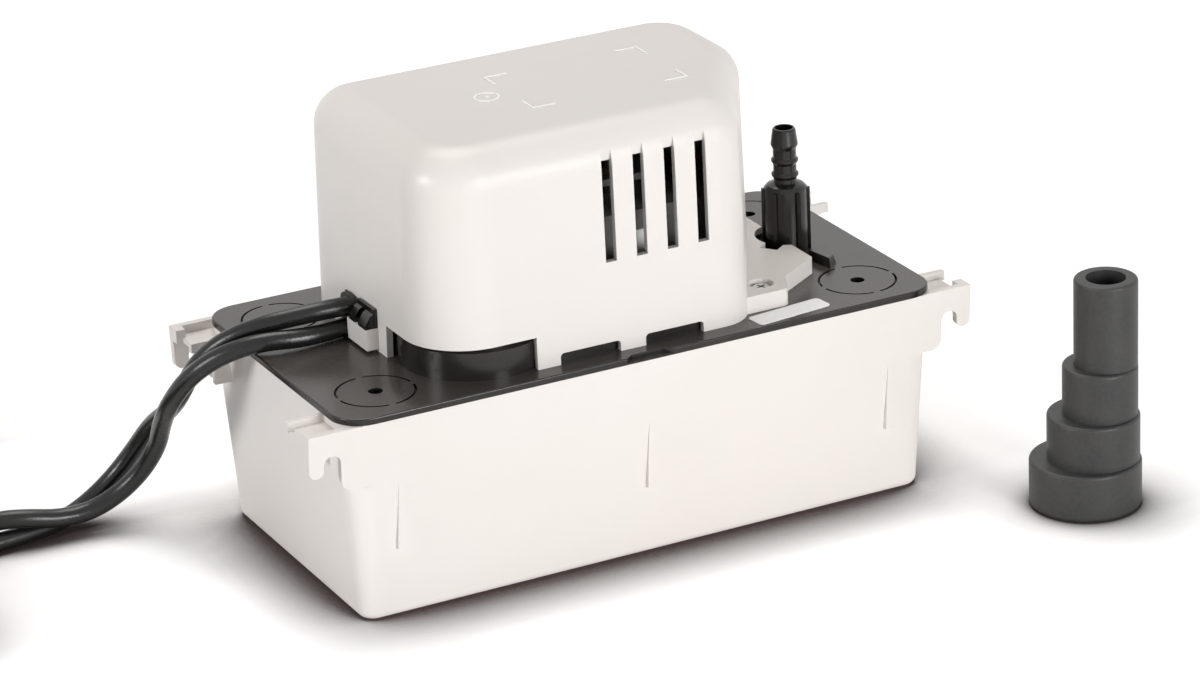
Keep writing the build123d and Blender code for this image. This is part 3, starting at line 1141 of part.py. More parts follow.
def make_mains_plug():
    """A flat two-pin plug, moulded on the lead, lying beside the coil."""
    root = Plane(origin=(0, PLUG_GAP, 0), x_dir=(1, 0, 0), z_dir=(0, 1, 0)) * Circle(CORD_RADIUS + 0.5)
    wide = Plane(origin=(0, PLUG_GAP + PLUG_RELIEF, 0), x_dir=(1, 0, 0), z_dir=(0, 1, 0)) * Circle(5.6)
    neck = loft([root, wide])
    grip = PLUG_LENGTH
    plan = make_face(Polyline((-6.5, 0), (6.5, 0), (PLUG_WIDTH / 2, grip * 0.45), (PLUG_FACE_WIDTH / 2, grip),
                              (-PLUG_FACE_WIDTH / 2, grip), (-PLUG_WIDTH / 2, grip * 0.45), close=True))
    plan = fillet(plan.vertices().filter_by_position(Axis.Y, grip * 0.3, grip + 1), 4.0)
    body = extrude(Pos(0, PLUG_GAP + PLUG_RELIEF - 0.5, -PLUG_THICK / 2) * plan, amount=PLUG_THICK)
    body = fillet(body.edges().group_by(Axis.Z)[-1] + body.edges().group_by(Axis.Z)[0], 2.0)
    return at_mains_end(neck + body)


def make_plug_pins():
    face_y = PLUG_GAP + PLUG_RELIEF + PLUG_LENGTH - 0.5
    pins = []
    for side in (-1, 1):
        at = Plane(origin=(side * PIN_SPACING / 2, face_y, 0), z_dir=(0, 1, 0))
        pin = extrude(at * Circle(PIN_RADIUS), amount=PIN_LENGTH)
        pins.append(single(at_mains_end(fillet(pin.edges().group_by(Axis.Y)[-1], 1.2))))
    return Compound(children=pins)


def lead_cores(start_at, length, radius):
    """Three short cores fanned out from the end of the alarm lead."""
    start, end = coil_tail(ALARM_ROUTE, 1, ALARM_COIL_EXIT, 0)
    cores = []
    for i in (-1, 0, 1):
        root = end + Vector(2.3 * i, 0, -0.9)
        way = Vector(0.22 * i, -1, -0.045).normalized()
        at = Plane(origin=root + way * start_at, z_dir=way)
        cores.append(single(extrude(at * Circle(radius), amount=length)))
    return Compound(children=cores)


def main():
    os.makedirs("parts", exist_ok=True)
    lower_face, upper_face = STACK_Z
    parts = {
        "tank": make_tank(),
        "pump_lid": make_lid(),
        "motor_cover": make_motor_cover(),
        "cover_screw": make_cover_screw(),
        "cord_clamp": make_cord_clamp(),
        "cord_grommet": make_cord_grommet(),
        "discharge_adapter": make_discharge_adapter(),
        "adapter_o_ring": make_adapter_oring(),
        "check_ball": make_check_ball(),
        "volute": make_volute(),
        "volute_cover": make_volute_cover(),
        "volute_screws": make_volute_screws(),
        "pump_column": make_pump_column(),
        "riser_pipe": make_riser_pipe(),
        "impeller": make_impeller(),
        "pump_shaft": make_shaft(),
        "rotor_core": on_shaft((lower_face + 1, upper_face - 1), ROTOR_RADIUS),
        "slinger": on_shaft((-10.0, -8.0), 6.0),
        "cooling_fan": make_cooling_fan(),
        "stator_stack": make_stator(),
        "coil_bobbin": make_coil_bobbin(),
        "coil_winding": make_coil_winding(),
        "lower_bracket": bracket(lower_face, -1),
        "upper_bracket": bracket(upper_face, 1),
        "lower_bearing": bearing(lower_face, -1),
        "upper_bearing": bearing(upper_face, 1),
        "motor_bolts": make_motor_bolts(),
        "float_body": make_float(),
        "float_stem": make_float_stem(),
        "float_collar": make_float_collar(),
        "switch_bracket": make_switch_bracket(),
        "run_switch": switch_body(-1),
        "run_switch_lever": switch_lever(-1),
        "run_switch_button": switch_button(-1),
        "alarm_switch": switch_body(1),
        "alarm_switch_lever": switch_lever(1),
        "alarm_switch_button": switch_button(1),
        "switch_screws": make_switch_screws(),
        "terminal_block": make_terminal_block(),
        "motor_lead": make_motor_lead(),
        "stepped_reducer": make_reducer(),
        "mains_cord": cord_tube(MAINS_ROUTE),
        "mains_coil": make_coil(MAINS_ROUTE, -1, MAINS_COIL_EXIT, TAIL_RISE),
        "mains_coil_tie": make_coil_tie(MAINS_ROUTE, -1),
        "mains_plug": make_mains_plug(),
        "mains_plug_pins": make_plug_pins(),
        "alarm_cord": cord_tube(ALARM_ROUTE),
        "alarm_coil": make_coil(ALARM_ROUTE, 1, ALARM_COIL_EXIT, 0),
        "alarm_coil_tie": make_coil_tie(ALARM_ROUTE, 1),
        "alarm_lead_cores": lead_cores(END_GAP, CORE_LENGTH, CORE_RADIUS),
        "alarm_lead_ferrules": lead_cores(END_GAP + CORE_LENGTH, FERRULE_LENGTH, FERRULE_RADIUS),
    }
    for name, shape in parts.items():
        export_step(single(shape), os.path.join("parts", name + ".step"))
        box = shape.bounding_box()
        print(name, len(shape.solids()), "solids, volume", round(shape.volume), "size",
              [round(v, 1) for v in (box.size.X, box.size.Y, box.size.Z)])


main()
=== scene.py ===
# %% [markdown]
# # A condensate pump on a white table
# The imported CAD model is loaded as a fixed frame, with every node where the real piece sits.
# This lesson adds what CAD leaves out: the camera, soft studio light, two flexible leads, two paper
# labels, and a finish for each plastic, rubber and metal. Sizes are metres in the CAD model's own frame.

# %% Load the frame
import math

import bpy
from mathutils import Matrix, Vector


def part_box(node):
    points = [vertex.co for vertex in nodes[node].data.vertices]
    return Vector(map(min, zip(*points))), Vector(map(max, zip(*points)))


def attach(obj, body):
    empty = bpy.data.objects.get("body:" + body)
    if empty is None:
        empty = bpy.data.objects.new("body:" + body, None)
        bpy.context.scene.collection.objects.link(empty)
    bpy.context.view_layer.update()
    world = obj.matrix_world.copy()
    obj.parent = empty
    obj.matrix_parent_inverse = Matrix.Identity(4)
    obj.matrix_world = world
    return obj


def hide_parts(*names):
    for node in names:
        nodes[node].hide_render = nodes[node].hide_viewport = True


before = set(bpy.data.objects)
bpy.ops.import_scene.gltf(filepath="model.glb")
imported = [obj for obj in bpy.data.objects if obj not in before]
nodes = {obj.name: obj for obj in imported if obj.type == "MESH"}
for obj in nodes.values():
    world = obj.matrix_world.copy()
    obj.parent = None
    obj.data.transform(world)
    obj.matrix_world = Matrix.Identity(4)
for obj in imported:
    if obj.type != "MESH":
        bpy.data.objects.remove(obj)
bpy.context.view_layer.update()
scene = bpy.context.scene
print("CAD nodes:", len(nodes))

# %% [markdown]
# ## Camera
# The photograph was taken from far away with a long lens, so parallel edges hardly converge. The
# object's known right angles give the camera's place and turn. A small lens shift holds the framing,
# because the picture was cropped after it was taken.

# %% Camera
EYE = Vector((-0.7158, -1.4640, 0.7213))
LOOK_RIGHT = Vector((0.8871, -0.4601, -0.0394))
LOOK_UP = Vector((0.2032, 0.3124, 0.9280))
LENS_MM = 141.26
SHIFT = (-0.0050, -0.0156)


def make_camera():
    data = bpy.data.cameras.new("camera")
    data.lens = LENS_MM
    data.sensor_width = 36.0
    data.shift_x, data.shift_y = SHIFT
    back = LOOK_RIGHT.cross(LOOK_UP).normalized()
    up = back.cross(LOOK_RIGHT).normalized()
    right = up.cross(back)
    camera = bpy.data.objects.new("camera", data)
    turn = Matrix((right, up, back)).transposed()
    camera.matrix_world = Matrix.Translation(EYE) @ turn.to_4x4()
    scene.collection.objects.link(camera)
    return camera


scene.camera = make_camera()
scene.view_settings.view_transform = "Standard"

# %% [markdown]
# ## Light
# A large softbox hangs over the object and a little behind it, so a dark, soft rim of shadow lies
# before the tank and the front isn't lit by it. Its light is a little warm, which gives the top faces
# their beige. A low softbox in front gives the front its white and hardly reaches the table, and a
# small one lights the left end. The world adds a faint even tent.

# %% Light
TENT = 0.14


def add_lamp(name, place, aim, size, power, tint=(1.0, 1.0, 1.0)):
    data = bpy.data.lights.new(name, "AREA")
    data.shape = "DISK"
    data.size = size
    data.energy = power
    data.color = tint
    lamp = bpy.data.objects.new(name, data)
    lamp.location = place
    lamp.rotation_euler = (Vector(aim) - Vector(place)).to_track_quat("-Z", "Y").to_euler()
    scene.collection.objects.link(lamp)
    return lamp


add_lamp("top_softbox", (0.08, 0.42, 1.30), (0, 0, 0.05), 0.90, 9.8, (1.0, 0.976, 0.95))
add_lamp("front_softbox", (0.30, -1.45, 0.36), (0, 0, 0.08), 0.55, 15.7)
add_lamp("left_softbox", (-1.35, -0.10, 0.45), (0, 0, 0.08), 0.45, 8.0)

# %% [markdown]
# ## Shader maths
# A material reads best as a formula. This small class wraps a node's output, and each Python
# operator on it adds the Math node that does the sum. Every other node comes from one method,
# `Finish.node`, which sets a node's options before it links or fills its sockets.

# %% Shader maths
class Signal:
    """One number that varies over a surface."""

    def __init__(self, finish, socket):
        self.finish = finish
        self.socket = socket

    def combine(self, operation, first, second):
        return self.finish.node("ShaderNodeMath", {"operation": operation}, {0: first, 1: second})

    def __add__(self, other):
        return self.combine("ADD", self, other)

    def __radd__(self, other):
        return self.combine("ADD", other, self)

    def __sub__(self, other):
        return self.combine("SUBTRACT", self, other)

    def __rsub__(self, other):
        return self.combine("SUBTRACT", other, self)

    def __mul__(self, other):
        return self.combine("MULTIPLY", self, other)

    def __rmul__(self, other):
        return self.combine("MULTIPLY", other, self)

    def __gt__(self, other):
        return self.combine("GREATER_THAN", self, other)


class Finish:
    """A material with one Principled shader, built from formulas."""

    def __init__(self, name):
        self.material = bpy.data.materials.new(name)
        self.material.use_nodes = True
        self.tree = self.material.node_tree
        self.shader = self.tree.nodes["Principled BSDF"]

    def node(self, kind, settings=None, sockets=None, output=0):
        """Adds a node, sets its options first, then its sockets, and wraps one output."""
        made = self.tree.nodes.new(kind)
        for key, value in (settings or {}).items():
            setattr(made, key, value)
        for key, value in (sockets or {}).items():
            self.fill(made.inputs[key], value)
        return Signal(self, made.outputs[output])

    def fill(self, socket, value):
        if isinstance(value, Signal):
            self.tree.links.new(value.socket, socket)
        else:
            socket.default_value = value

    def set(self, **values):
        """Fills the shader's own sockets; an underscore in a name stands for a space."""
        for key, value in values.items():
            self.fill(self.shader.inputs[key.replace("_", " ")], value)
        return self

    def place(self):
        """The place on the object, in metres in the CAD model's frame."""
        return self.node("ShaderNodeTexCoord", output=3)

    def facing(self):
        """The direction that the surface faces."""
        return self.node("ShaderNodeTexCoord", output=1)

    def upward(self, vector):
        """How far a place or a direction goes up."""
        return self.node("ShaderNodeSeparateXYZ", None, {"Vector": vector}, output=2)

    def noise(self, scale, detail=3.0, roughness=0.5):
        sockets = {"Vector": self.place(), "Scale": scale, "Detail": detail, "Roughness": roughness}
        return self.node("ShaderNodeTexNoise", None, sockets)

    def bands(self, axis, profile, scale):
        """Parallel bands across one axis."""
        settings = {"wave_type": "BANDS", "bands_direction": axis, "wave_profile": profile}
        return self.node("ShaderNodeTexWave", settings, {"Vector": self.place(), "Scale": scale})

    def stretch(self, signal, from_low, from_high, to_low=0.0, to_high=1.0):
        """Maps one range of a signal to another and holds its ends."""
        sockets = {"Value": signal, "From Min": from_low, "From Max": from_high,
                   "To Min": to_low, "To Max": to_high}
        return self.node("ShaderNodeMapRange", {"clamp": True}, sockets)

    def between(self, noise, low, high):
        """Maps the middle of a noise to the range from low to high."""
        return self.stretch(noise, 0.3, 0.7, low, high)

    def mix(self, factor, first, second):
        settings = {"data_type": "RGBA"}
        return self.node("ShaderNodeMix", settings, {0: factor, 6: first, 7: second}, output=2)

    def bump(self, height, distance, strength=0.5):
        """Turns a height between 0 and 1 into relief that is distance metres deep."""
        sockets = {"Height": height, "Distance": distance, "Strength": strength}
        return self.node("ShaderNodeBump", None, sockets)


def rgb(red, green, blue):
    return (red, green, blue, 1.0)


# %% [markdown]
# ## Table
# A white table fills the view, and only the shadow shows. For camera and mirror rays the table glows
# a little, so that its lit parts reach white, and fully where the lamps no longer reach. Bare paper
# bounces so much light under the tank that the rim of shadow washes out, so a painted shadow darkens
# the paper's colour where an object stands closer than four centimetres.

# %% Table
TABLE_HALF = 6.0
TABLE_GLOW = 0.36
GLOW_STARTS, GLOW_FULL = 0.40, 1.2
SHADOW_REACH = 0.042
OPEN_IN_SHADOW, OPEN_IN_LIGHT = 0.50, 0.94
SHADED_PAPER = (0.10, 0.078, 0.076)
WHITE_PAPER = (0.93, 0.92, 0.915)


def make_table():
    mesh = bpy.data.meshes.new("table")
    corners = [(side_x * TABLE_HALF, side_y * TABLE_HALF, 0)
               for side_x, side_y in ((-1, -1), (1, -1), (1, 1), (-1, 1))]
    mesh.from_pydata(corners, [], [(0, 1, 2, 3)])
    table = bpy.data.objects.new("table", mesh)
    scene.collection.objects.link(table)
    finish = Finish("table_paper")
    openness = finish.node("ShaderNodeAmbientOcclusion", {"samples": 16}, {"Distance": SHADOW_REACH}, 1)
    clear = finish.stretch(openness, OPEN_IN_SHADOW, OPEN_IN_LIGHT)
    path = finish.node("ShaderNodeLightPath")
    rays = path.socket.node.outputs
    seen = Signal(finish, rays["Is Camera Ray"]) + Signal(finish, rays["Is Glossy Ray"])
    seen = seen + Signal(finish, rays["Is Transmission Ray"])
    # Painted shadow: for camera and mirror rays the paper's colour darkens towards SHADED_PAPER where an
    # object stands close.
    paper = finish.mix(1 - seen * (1 - clear), rgb(*SHADED_PAPER), rgb(*WHITE_PAPER))
    away = finish.node("ShaderNodeVectorMath", {"operation": "LENGTH"}, {0: finish.place()}, output=1)
    level = finish.stretch(away, GLOW_STARTS, GLOW_FULL, TABLE_GLOW, 1.0)
    # The glow also fades out where the painted shadow lies.
    glow = finish.mix(seen * clear * level, rgb(0, 0, 0), rgb(1, 1, 1))
    finish.set(Base_Color=paper, Roughness=0.9, Emission_Color=glow, Emission_Strength=1.0)
    finish.shader.inputs["Specular IOR Level"].default_value = 0.0
    mesh.materials.append(finish.material)
    return table


def make_world():
    world = bpy.data.worlds.new("tent")
    world.use_nodes = True
    tree = world.node_tree
    tree.nodes.clear()
    light = tree.nodes.new("ShaderNodeBackground")
    light.inputs["Color"].default_value = rgb(1.0, 0.985, 0.97)
    light.inputs["Strength"].default_value = TENT
    white = tree.nodes.new("ShaderNodeBackground")
    white.inputs["Color"].default_value = rgb(1, 1, 1)
    path = tree.nodes.new("ShaderNodeLightPath")
    seen = path.outputs["Is Camera Ray"]
    for ray in ("Is Glossy Ray", "Is Transmission Ray"):
        either = tree.nodes.new("ShaderNodeMath")
        either.operation = "MAXIMUM"
        tree.links.new(seen, either.inputs[0])
        tree.links.new(path.outputs[ray], either.inputs[1])
        seen = either.outputs[0]
    mix = tree.nodes.new("ShaderNodeMixShader")
    tree.links.new(seen, mix.inputs[0])
    tree.links.new(light.outputs[0], mix.inputs[1])
    tree.links.new(white.outputs[0], mix.inputs[2])
    output = tree.nodes.new("ShaderNodeOutputWorld")
    tree.links.new(mix.outputs[0], output.inputs["Surface"])
    scene.world = world


make_world()
make_table()

# %% [markdown]
# ## Leads
# Two round black leads leave the cover's back left side together, cross the lid, twist round each
# other over the edge and run out of the picture on the left. A NURBS curve of order 3 bends like a
# sprung cable between its control points. The bevel is one metre and each point's radius scales it
# down to the lead, because the curve's box grows by that radius. Out of the picture each lead is
# wound into a tied coil, so the curve goes on with turns that a loop works out.

# %% Leads
LEAD_RADIUS = 0.0036
COIL_MID_RADIUS = 0.040
COIL_PITCH = 2 * LEAD_RADIUS
COIL_BOTTOM = 0.0039
MAINS_TURNS = 5.5
ALARM_TURNS = 5.25
POINTS_PER_TURN = 24
TAIL_LENGTH = 0.028
MAINS_ROUTE = [(-0.0844, 0.0116, 0.0850), (-0.0920, 0.0107, 0.0849), (-0.1047, 0.0092, 0.0851),
               (-0.1197, 0.0122, 0.0860), (-0.1330, 0.0189, 0.0815), (-0.1429, 0.0271, 0.0722),
               (-0.1479, 0.0363, 0.0591), (-0.1469, 0.0477, 0.0473), (-0.1461, 0.0564, 0.0352),
               (-0.1499, 0.0626, 0.0243), (-0.1581, 0.0670, 0.0150), (-0.1696, 0.0695, 0.0090),
               (-0.1820, 0.0705, 0.0085), (-0.1939, 0.0712, 0.0113), (-0.2044, 0.0743, 0.0119),
               (-0.2230, 0.0825, 0.0076), (-0.2460, 0.0884, 0.0118), (-0.2760, 0.0904, 0.0181)]
ALARM_ROUTE = [(-0.0844, 0.0111, 0.0929), (-0.0939, 0.0116, 0.0931), (-0.1038, 0.0139, 0.0920),
               (-0.1154, 0.0182, 0.0900), (-0.1284, 0.0262, 0.0839), (-0.1374, 0.0346, 0.0729),
               (-0.1406, 0.0427, 0.0588), (-0.1414, 0.0541, 0.0488), (-0.1444, 0.0659, 0.0397),
               (-0.1487, 0.0739, 0.0279), (-0.1558, 0.0780, 0.0174), (-0.1660, 0.0792, 0.0089),
               (-0.1780, 0.0777, 0.0042), (-0.1909, 0.0748, 0.0037), (-0.2023, 0.0730, 0.0038),
               (-0.2135, 0.0716, 0.0042), (-0.2362, 0.0694, 0.0064), (-0.2619, 0.0699, 0.0109),
               (-0.2860, 0.0706, 0.0181)]

# %% [markdown]
# A coil of two columns and three layers is wound from the top outer place inwards, down the inside and
# back up the outside. Each change of place takes a seventh of a turn, and starts half of that before
# the change one turn above it, so that the lead never runs through itself. Where the tie sits, the
# turns are pressed together.

# %% Coil turns
OUTER, INNER = COIL_MID_RADIUS + LEAD_RADIUS, COIL_MID_RADIUS - LEAD_RADIUS
PLACES = [(OUTER, 2), (INNER, 2), (INNER, 1), (INNER, 0), (OUTER, 0), (OUTER, 1)]
CHANGES = [0.93, 1.86, 2.79, 3.72, 4.65]
CHANGE_SPAN = 0.14
TIE_ANGLE = math.radians(135)
TIE_REACH = math.radians(32)


def coil_place(turn):
    """Radius and height of the lead after so many turns."""
    radius, layer = PLACES[0]
    for change, (was_radius, was_layer), (next_radius, next_layer) in zip(CHANGES, PLACES, PLACES[1:]):
        done = min(1.0, max(0.0, (turn - change) / CHANGE_SPAN + 0.5))
        eased = done * done * (3 - 2 * done)
        radius += (next_radius - was_radius) * eased
        layer += (next_layer - was_layer) * eased
    return radius, COIL_BOTTOM + layer * COIL_PITCH


def pressed(radius, height, angle):
    """Moves a place towards the middle of the coil's section near the tie."""
    away = abs((angle - TIE_ANGLE + math.pi) % (2 * math.pi) - math.pi)
    hold = math.cos(away / TIE_REACH * math.pi / 2) ** 2 if away < TIE_REACH else 0.0
    middle = COIL_BOTTOM + COIL_PITCH
    radius += (COIL_MID_RADIUS - radius) * 0.20 * hold
    height += (middle - height) * 0.10 * hold
    return radius, height


def coil_points(start, winding, turns):
    """Control points of the wound turns, a little outside the lead's own circle."""
    step = math.pi / POINTS_PER_TURN
    spread = 2.0 / (math.cos(step) + 0.75 + 0.25 * math.cos(2 * step))
    centre_x, centre_y = start[0], start[1] - winding * OUTER
    points = []
    for i in range(1, int(turns * POINTS_PER_TURN) + 1):
        turn = i / POINTS_PER_TURN
        angle = winding * (math.pi / 2 + 2 * math.pi * turn)
        radius, height = pressed(*coil_place(turn), angle)
        points.append((centre_x + radius * spread * math.cos(angle),
                       centre_y + radius * spread * math.sin(angle), height))
    return points


def make_lead(name, route, winding, turns, end_height):
    points = list(route) + coil_points(route[-1], winding, turns)
    x, y, z = points[-1]
    leaves_at = winding * (math.pi / 2 + 2 * math.pi * turns)
    along_x, along_y = -winding * math.sin(leaves_at), winding * math.cos(leaves_at)
    for share, height in ((0.35, z), (0.70, (z + end_height) / 2), (1.0, end_height)):
        reach = TAIL_LENGTH * share
        points.append((x + reach * along_x, y + reach * along_y, height))
    data = bpy.data.curves.new(name, "CURVE")
    data.dimensions = "3D"
    data.bevel_depth = 1.0
    data.bevel_resolution = 5
    data.resolution_u = 8
    data.use_fill_caps = True
    spline = data.splines.new("NURBS")
    spline.points.add(len(points) - 1)
    for point, place in zip(spline.points, points):
        point.co = (*place, 1.0)
        point.radius = LEAD_RADIUS
    spline.order_u = 3
    spline.use_endpoint_u = True
    lead = bpy.data.objects.new(name, data)
    scene.collection.objects.link(lead)
    length = sum((Vector(b) - Vector(a)).length for a, b in zip(points, points[1:]))
    print(name, "length about", round(length, 3))
    return lead


mains_lead = make_lead("mains_lead", MAINS_ROUTE, -1, MAINS_TURNS, 0.0072)
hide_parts("mains_cord", "mains_coil")
alarm_lead = make_lead("alarm_lead", ALARM_ROUTE, 1, ALARM_TURNS, 0.0039)
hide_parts("alarm_cord", "alarm_coil")
for lead in (mains_lead, alarm_lead):
    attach(lead, "pump_body")

# %% [markdown]
# ## White mouldings
# The cover and the tank are injection moulded in a warm white. Such plastic isn't mirror smooth: the
# mould leaves a fine, even grain and faint flow marks. A fine noise gives the grain as relief, and a
# broad one moves the gloss and tone by a few percent. The thin raised marks on the cover's top get a
# painted highlight: whatever stands above the top face gets a lighter tone for the light they catch.

# %% White mouldings
def white_moulding(name, tone, gloss, grain, painted_highlight_above=None):
    finish = Finish(name)
    cloud = finish.noise(9.0, 4.0)
    warm = tuple(channel * shade for channel, shade in zip(tone, (0.975, 0.965, 0.95)))
    colour = finish.mix(finish.between(cloud, 0.0, 1.0), rgb(*tone), rgb(*warm))
    if painted_highlight_above:
        # Painted highlight: faces above the cover's top, the raised marks, get a lighter tone.
        painted_highlight_mask = finish.upward(finish.place()) > painted_highlight_above
        colour = finish.mix(painted_highlight_mask, colour, rgb(0.97, 0.96, 0.95))
    fine = finish.noise(1500.0, 2.0)
    flow = finish.noise(60.0, 2.0)
    rough = finish.between(flow, gloss - 0.03, gloss + 0.05)
    relief = finish.bump(fine, grain, 0.35)
    return finish.set(Base_Color=colour, Roughness=rough, Normal=relief, IOR=1.42)


MARK_DEPTH = 0.00012
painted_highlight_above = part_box("motor_cover")[1].z - MARK_DEPTH
cover_white = white_moulding("cover_white", (0.76, 0.728, 0.705), 0.36, 0.00006, painted_highlight_above)
tank_white = white_moulding("tank_white", (0.79, 0.757, 0.735), 0.40, 0.00005)

# %% [markdown]
# ## Black mouldings
# The lid and the adapter are glossy black. What the eye reads as black plastic is mostly reflection:
# a very dark base, a smooth surface with slight waviness, and soft wear that dulls patches. The lid's
# upward faces get a painted sheen, a warm dark grey in their colour for the light they catch from above.

# %% Black mouldings
def black_moulding(name, tone, gloss, wave, dust_and_sheen=False):
    finish = Finish(name)
    patches = finish.between(finish.noise(35.0, 4.0), 0.0, 1.0)
    rough = gloss + patches * 0.10
    colour = finish.mix(patches, rgb(tone * 1.1, tone, tone * 0.92), rgb(tone * 1.8, tone * 1.5, tone * 1.3))
    if dust_and_sheen:
        # Painted sheen: upward faces get a warm dark grey in place of the light that they catch from above.
        painted_sheen_mask = finish.stretch(finish.upward(finish.facing()), 0.90, 0.99)
        colour = finish.mix(painted_sheen_mask, colour, rgb(0.060, 0.052, 0.047))
    fine = finish.noise(1100.0, 2.0)
    return finish.set(Base_Color=colour, Roughness=rough, Normal=finish.bump(fine, wave, 0.3), IOR=1.45)


lid_black = black_moulding("lid_black", 0.009, 0.18, 0.00005, dust_and_sheen=True)
adapter_black = black_moulding("adapter_black", 0.006, 0.16, 0.00003)
inner_black = black_moulding("inner_black", 0.022, 0.38, 0.00006)

# %% [markdown]
# ## Rubber and lead sheath
# The reducer is soft black rubber, dull and slightly dusty, with the grain of its mould. The leads
# have a smooth sheath with a soft shine along their length.

# %% Rubber and sheath
def rubber(name, tone, gloss):
    finish = Finish(name)
    dust = finish.between(finish.noise(55.0, 5.0, 0.6), 0.0, 1.0)
    speck = finish.between(finish.noise(700.0, 2.0), 0.0, 1.0)
    dust_and_sheen = rgb(tone * 2.0, tone * 1.95, tone * 1.9)
    colour = finish.mix(dust * 0.5 + speck * 0.3, rgb(tone, tone, tone), dust_and_sheen)
    rough = gloss + dust * 0.12
    relief = finish.bump(speck, 0.00008, 0.35)
    return finish.set(Base_Color=colour, Roughness=rough, Normal=relief, IOR=1.42)


reducer_rubber = rubber("reducer_rubber", 0.026, 0.42)
soft_rubber = rubber("soft_rubber", 0.016, 0.55)
lead_sheath = rubber("lead_sheath", 0.006, 0.22)

# %% [markdown]
# ## Metals
# The motor shows through the vents: stacked steel sheets with fine edges, dull brackets and bolts.
# The sheet edges are a wave along the height; plating is a bright metal with uneven roughness.

# %% Metals
SHEETS_SCALE = 630.0


def plated(name, tone, gloss, metal=1.0):
    finish = Finish(name)
    stain = finish.between(finish.noise(120.0, 4.0), 0.0, 1.0)
    dull = tuple(channel * 0.72 for channel in tone)
    colour = finish.mix(stain, rgb(*tone), rgb(*dull))
    rough = gloss + stain * 0.15
    scratch = finish.noise(2200.0, 2.0)
    return finish.set(Base_Color=colour, Roughness=rough, Metallic=metal,
                      Normal=finish.bump(scratch, 0.00003, 0.3))


def laminations(name):
    finish = Finish(name)
    sheets = finish.bands("Z", "TRI", SHEETS_SCALE)
    rust = finish.between(finish.noise(80.0, 4.0), 0.0, 1.0)
    colour = finish.mix(rust, rgb(0.24, 0.23, 0.225), rgb(0.15, 0.14, 0.13))
    return finish.set(Base_Color=colour, Roughness=0.48 + rust * 0.2, Metallic=0.35,
                      Normal=finish.bump(sheets, 0.00025, 0.8))


zinc = plated("zinc_plate", (0.66, 0.65, 0.62), 0.30)
dull_steel = plated("dull_steel", (0.15, 0.15, 0.155), 0.45, 0.6)
bronze = plated("sintered_bronze", (0.20, 0.14, 0.08), 0.45)
nickel = plated("nickel_plate", (0.72, 0.70, 0.66), 0.22)
sheet_stack = laminations("sheet_stack")

# %% [markdown]
# ## Small plastics
# The coil is wrapped in dark tape, its bobbin and the terminal block are natural nylon, and the
# float is an off-white hollow moulding. One function with a tone and a gloss serves them all.

# %% Small plastics
TAPE_SCALE = 45.0


def small_plastic(name, tone, gloss, tape=0.0):
    finish = Finish(name)
    shade = finish.between(finish.noise(140.0, 3.0), 0.0, 1.0)
    darker = tuple(channel * 0.86 for channel in tone)
    colour = finish.mix(shade, rgb(*tone), rgb(*darker))
    height = finish.noise(900.0, 2.0)
    if tape:
        height = finish.bands("X", "SAW", tape)
    return finish.set(Base_Color=colour, Roughness=gloss + shade * 0.08,
                      Normal=finish.bump(height, 0.00008, 0.5))


SMALL = {
    "coil_winding": small_plastic("coil_tape", (0.035, 0.030, 0.026), 0.45, TAPE_SCALE),
    "coil_bobbin": small_plastic("bobbin_nylon", (0.62, 0.59, 0.50), 0.42),
    "terminal_block": small_plastic("terminal_nylon", (0.72, 0.71, 0.66), 0.40),
    "float_body": small_plastic("float_shell", (0.80, 0.78, 0.72), 0.38),
    "motor_lead": small_plastic("red_wire", (0.55, 0.02, 0.015), 0.30),
    "run_switch": small_plastic("switch_case", (0.03, 0.03, 0.032), 0.40),
    "run_switch_button": small_plastic("button_red", (0.50, 0.03, 0.02), 0.35),
    "check_ball": small_plastic("ball_nylon", (0.78, 0.77, 0.73), 0.30),
    "alarm_lead_cores": small_plastic("core_sleeve", (0.20, 0.10, 0.04), 0.35),
    "mains_plug": small_plastic("plug_shell", (0.020, 0.020, 0.021), 0.38),
}
SMALL["alarm_switch"] = SMALL["run_switch"]
SMALL["alarm_switch_button"] = SMALL["run_switch_button"]

# %% [markdown]
# ## Dressing the CAD nodes
# Each CAD node keeps its shape and takes a finish in its material slots. The table below names the
# nodes of each finish, and the loop reports a node that was forgotten.

# %% Dressing
DRESS = {
    cover_white: ["motor_cover"],
    tank_white: ["tank"],
    lid_black: ["pump_lid"],
    adapter_black: ["discharge_adapter", "cord_clamp"],
    inner_black: ["volute", "volute_cover", "pump_column", "riser_pipe", "impeller", "cooling_fan",
                  "float_stem", "float_collar", "mains_coil_tie", "alarm_coil_tie"],
    soft_rubber: ["cord_grommet", "adapter_o_ring", "slinger"],
    reducer_rubber: ["stepped_reducer"],
    zinc: ["cover_screw", "volute_screws", "pump_shaft", "switch_bracket", "switch_screws",
           "run_switch_lever", "alarm_switch_lever"],
    dull_steel: ["lower_bracket", "upper_bracket", "motor_bolts"],
    bronze: ["lower_bearing", "upper_bearing"],
    nickel: ["mains_plug_pins", "alarm_lead_ferrules"],
    sheet_stack: ["stator_stack", "rotor_core"],
    lead_sheath: ["mains_cord", "mains_coil", "alarm_cord", "alarm_coil"],
}


def wear(piece, finish):
    """Puts one finish in all of a piece's material slots."""
    slots = piece.data.materials
    if not slots:
        slots.append(finish.material)
    for i in range(len(slots)):
        slots[i] = finish.material


for finish, names in DRESS.items():
    for name in names:
        wear(nodes[name], finish)
for name, finish in SMALL.items():
    wear(nodes[name], finish)
wear(mains_lead, lead_sheath)
wear(alarm_lead, lead_sheath)
dressed = {name for names in DRESS.values() for name in names} | set(SMALL)
print("nodes without a finish:", sorted(set(nodes) - dressed))

# %% [markdown]
# ## Paper labels
# A paper label lies on the lid's front edge, and another is glued on the motor's steel stack, behind
# the vents. Each is a rounded rectangle with the thickness of a sticker. Its rim is worked out corner
# by corner, and one mesh from points and faces is enough for so flat a form.

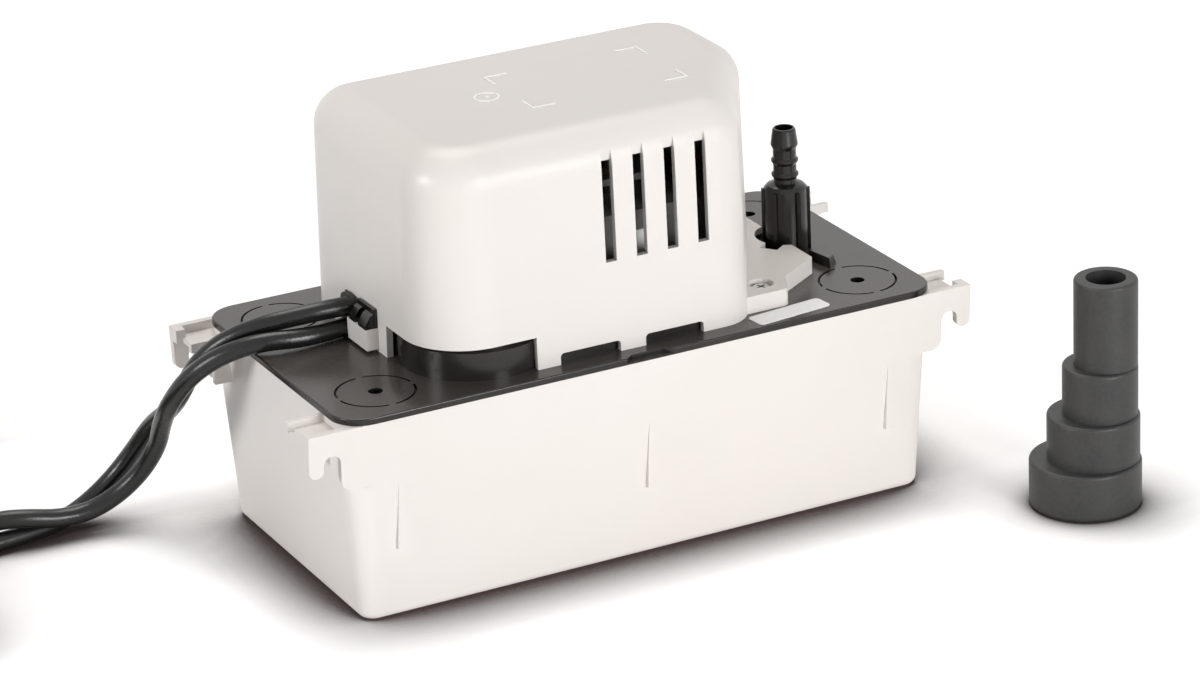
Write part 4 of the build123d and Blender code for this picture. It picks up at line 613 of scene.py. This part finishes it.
# %% Labels
LABEL_THICK = 0.00025
LABEL_LIFT = 0.00005
CORNER_STEPS = 6
LID_TOP = 0.081
LID_LABEL_SIZE = (0.0315, 0.0092)
LID_LABEL_CENTRE = (0.0619, -0.0562)
LID_LABEL_TURN = math.radians(6.0)
MOTOR_LABEL_SIZE = (0.0150, 0.0144)
MOTOR_LABEL_X = 0.0125
MOTOR_LABEL_BELOW_STACK_TOP = 0.0148


def rounded_sheet(name, length, width, radius, thick):
    """A thin plate with rounded corners, flat in X and Y, its underside at zero."""
    rim = []
    for corner in range(4):
        side_x = 1 if corner in (0, 3) else -1
        side_y = 1 if corner in (0, 1) else -1
        for i in range(CORNER_STEPS + 1):
            angle = math.pi / 2 * (corner + i / CORNER_STEPS)
            rim.append((side_x * (length / 2 - radius) + radius * math.cos(angle),
                        side_y * (width / 2 - radius) + radius * math.sin(angle)))
    count = len(rim)
    points = [(x, y, 0) for x, y in rim] + [(x, y, thick) for x, y in rim]
    faces = [tuple(reversed(range(count))), tuple(range(count, 2 * count))]
    for i in range(count):
        after = (i + 1) % count
        faces.append((i, after, after + count, i + count))
    mesh = bpy.data.meshes.new(name)
    mesh.from_pydata(points, [], faces)
    sheet = bpy.data.objects.new(name, mesh)
    scene.collection.objects.link(sheet)
    return sheet


def paper_finish():
    finish = Finish("label_paper")
    fibre = finish.between(finish.noise(400.0, 4.0), 0.0, 1.0)
    colour = finish.mix(fibre, rgb(0.90, 0.90, 0.895), rgb(0.84, 0.84, 0.835))
    return finish.set(Base_Color=colour, Roughness=0.45 + fibre * 0.1,
                      Normal=finish.bump(fibre, 0.00002, 0.3))


paper = paper_finish()
lid_label = rounded_sheet("lid_label", *LID_LABEL_SIZE, 0.0018, LABEL_THICK)
lid_label.matrix_world = (Matrix.Translation((*LID_LABEL_CENTRE, LID_TOP + LABEL_LIFT))
                          @ Matrix.Rotation(LID_LABEL_TURN, 4, "Z"))
stack_low, stack_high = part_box("stator_stack")
motor_label = rounded_sheet("motor_label", *MOTOR_LABEL_SIZE, 0.0008, LABEL_THICK)
motor_label_place = (MOTOR_LABEL_X, stack_low.y - LABEL_LIFT, stack_high.z - MOTOR_LABEL_BELOW_STACK_TOP)
motor_label.matrix_world = Matrix.Translation(motor_label_place) @ Matrix.Rotation(math.pi / 2, 4, "X")
for label in (lid_label, motor_label):
    wear(label, paper)
    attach(label, "pump_body")
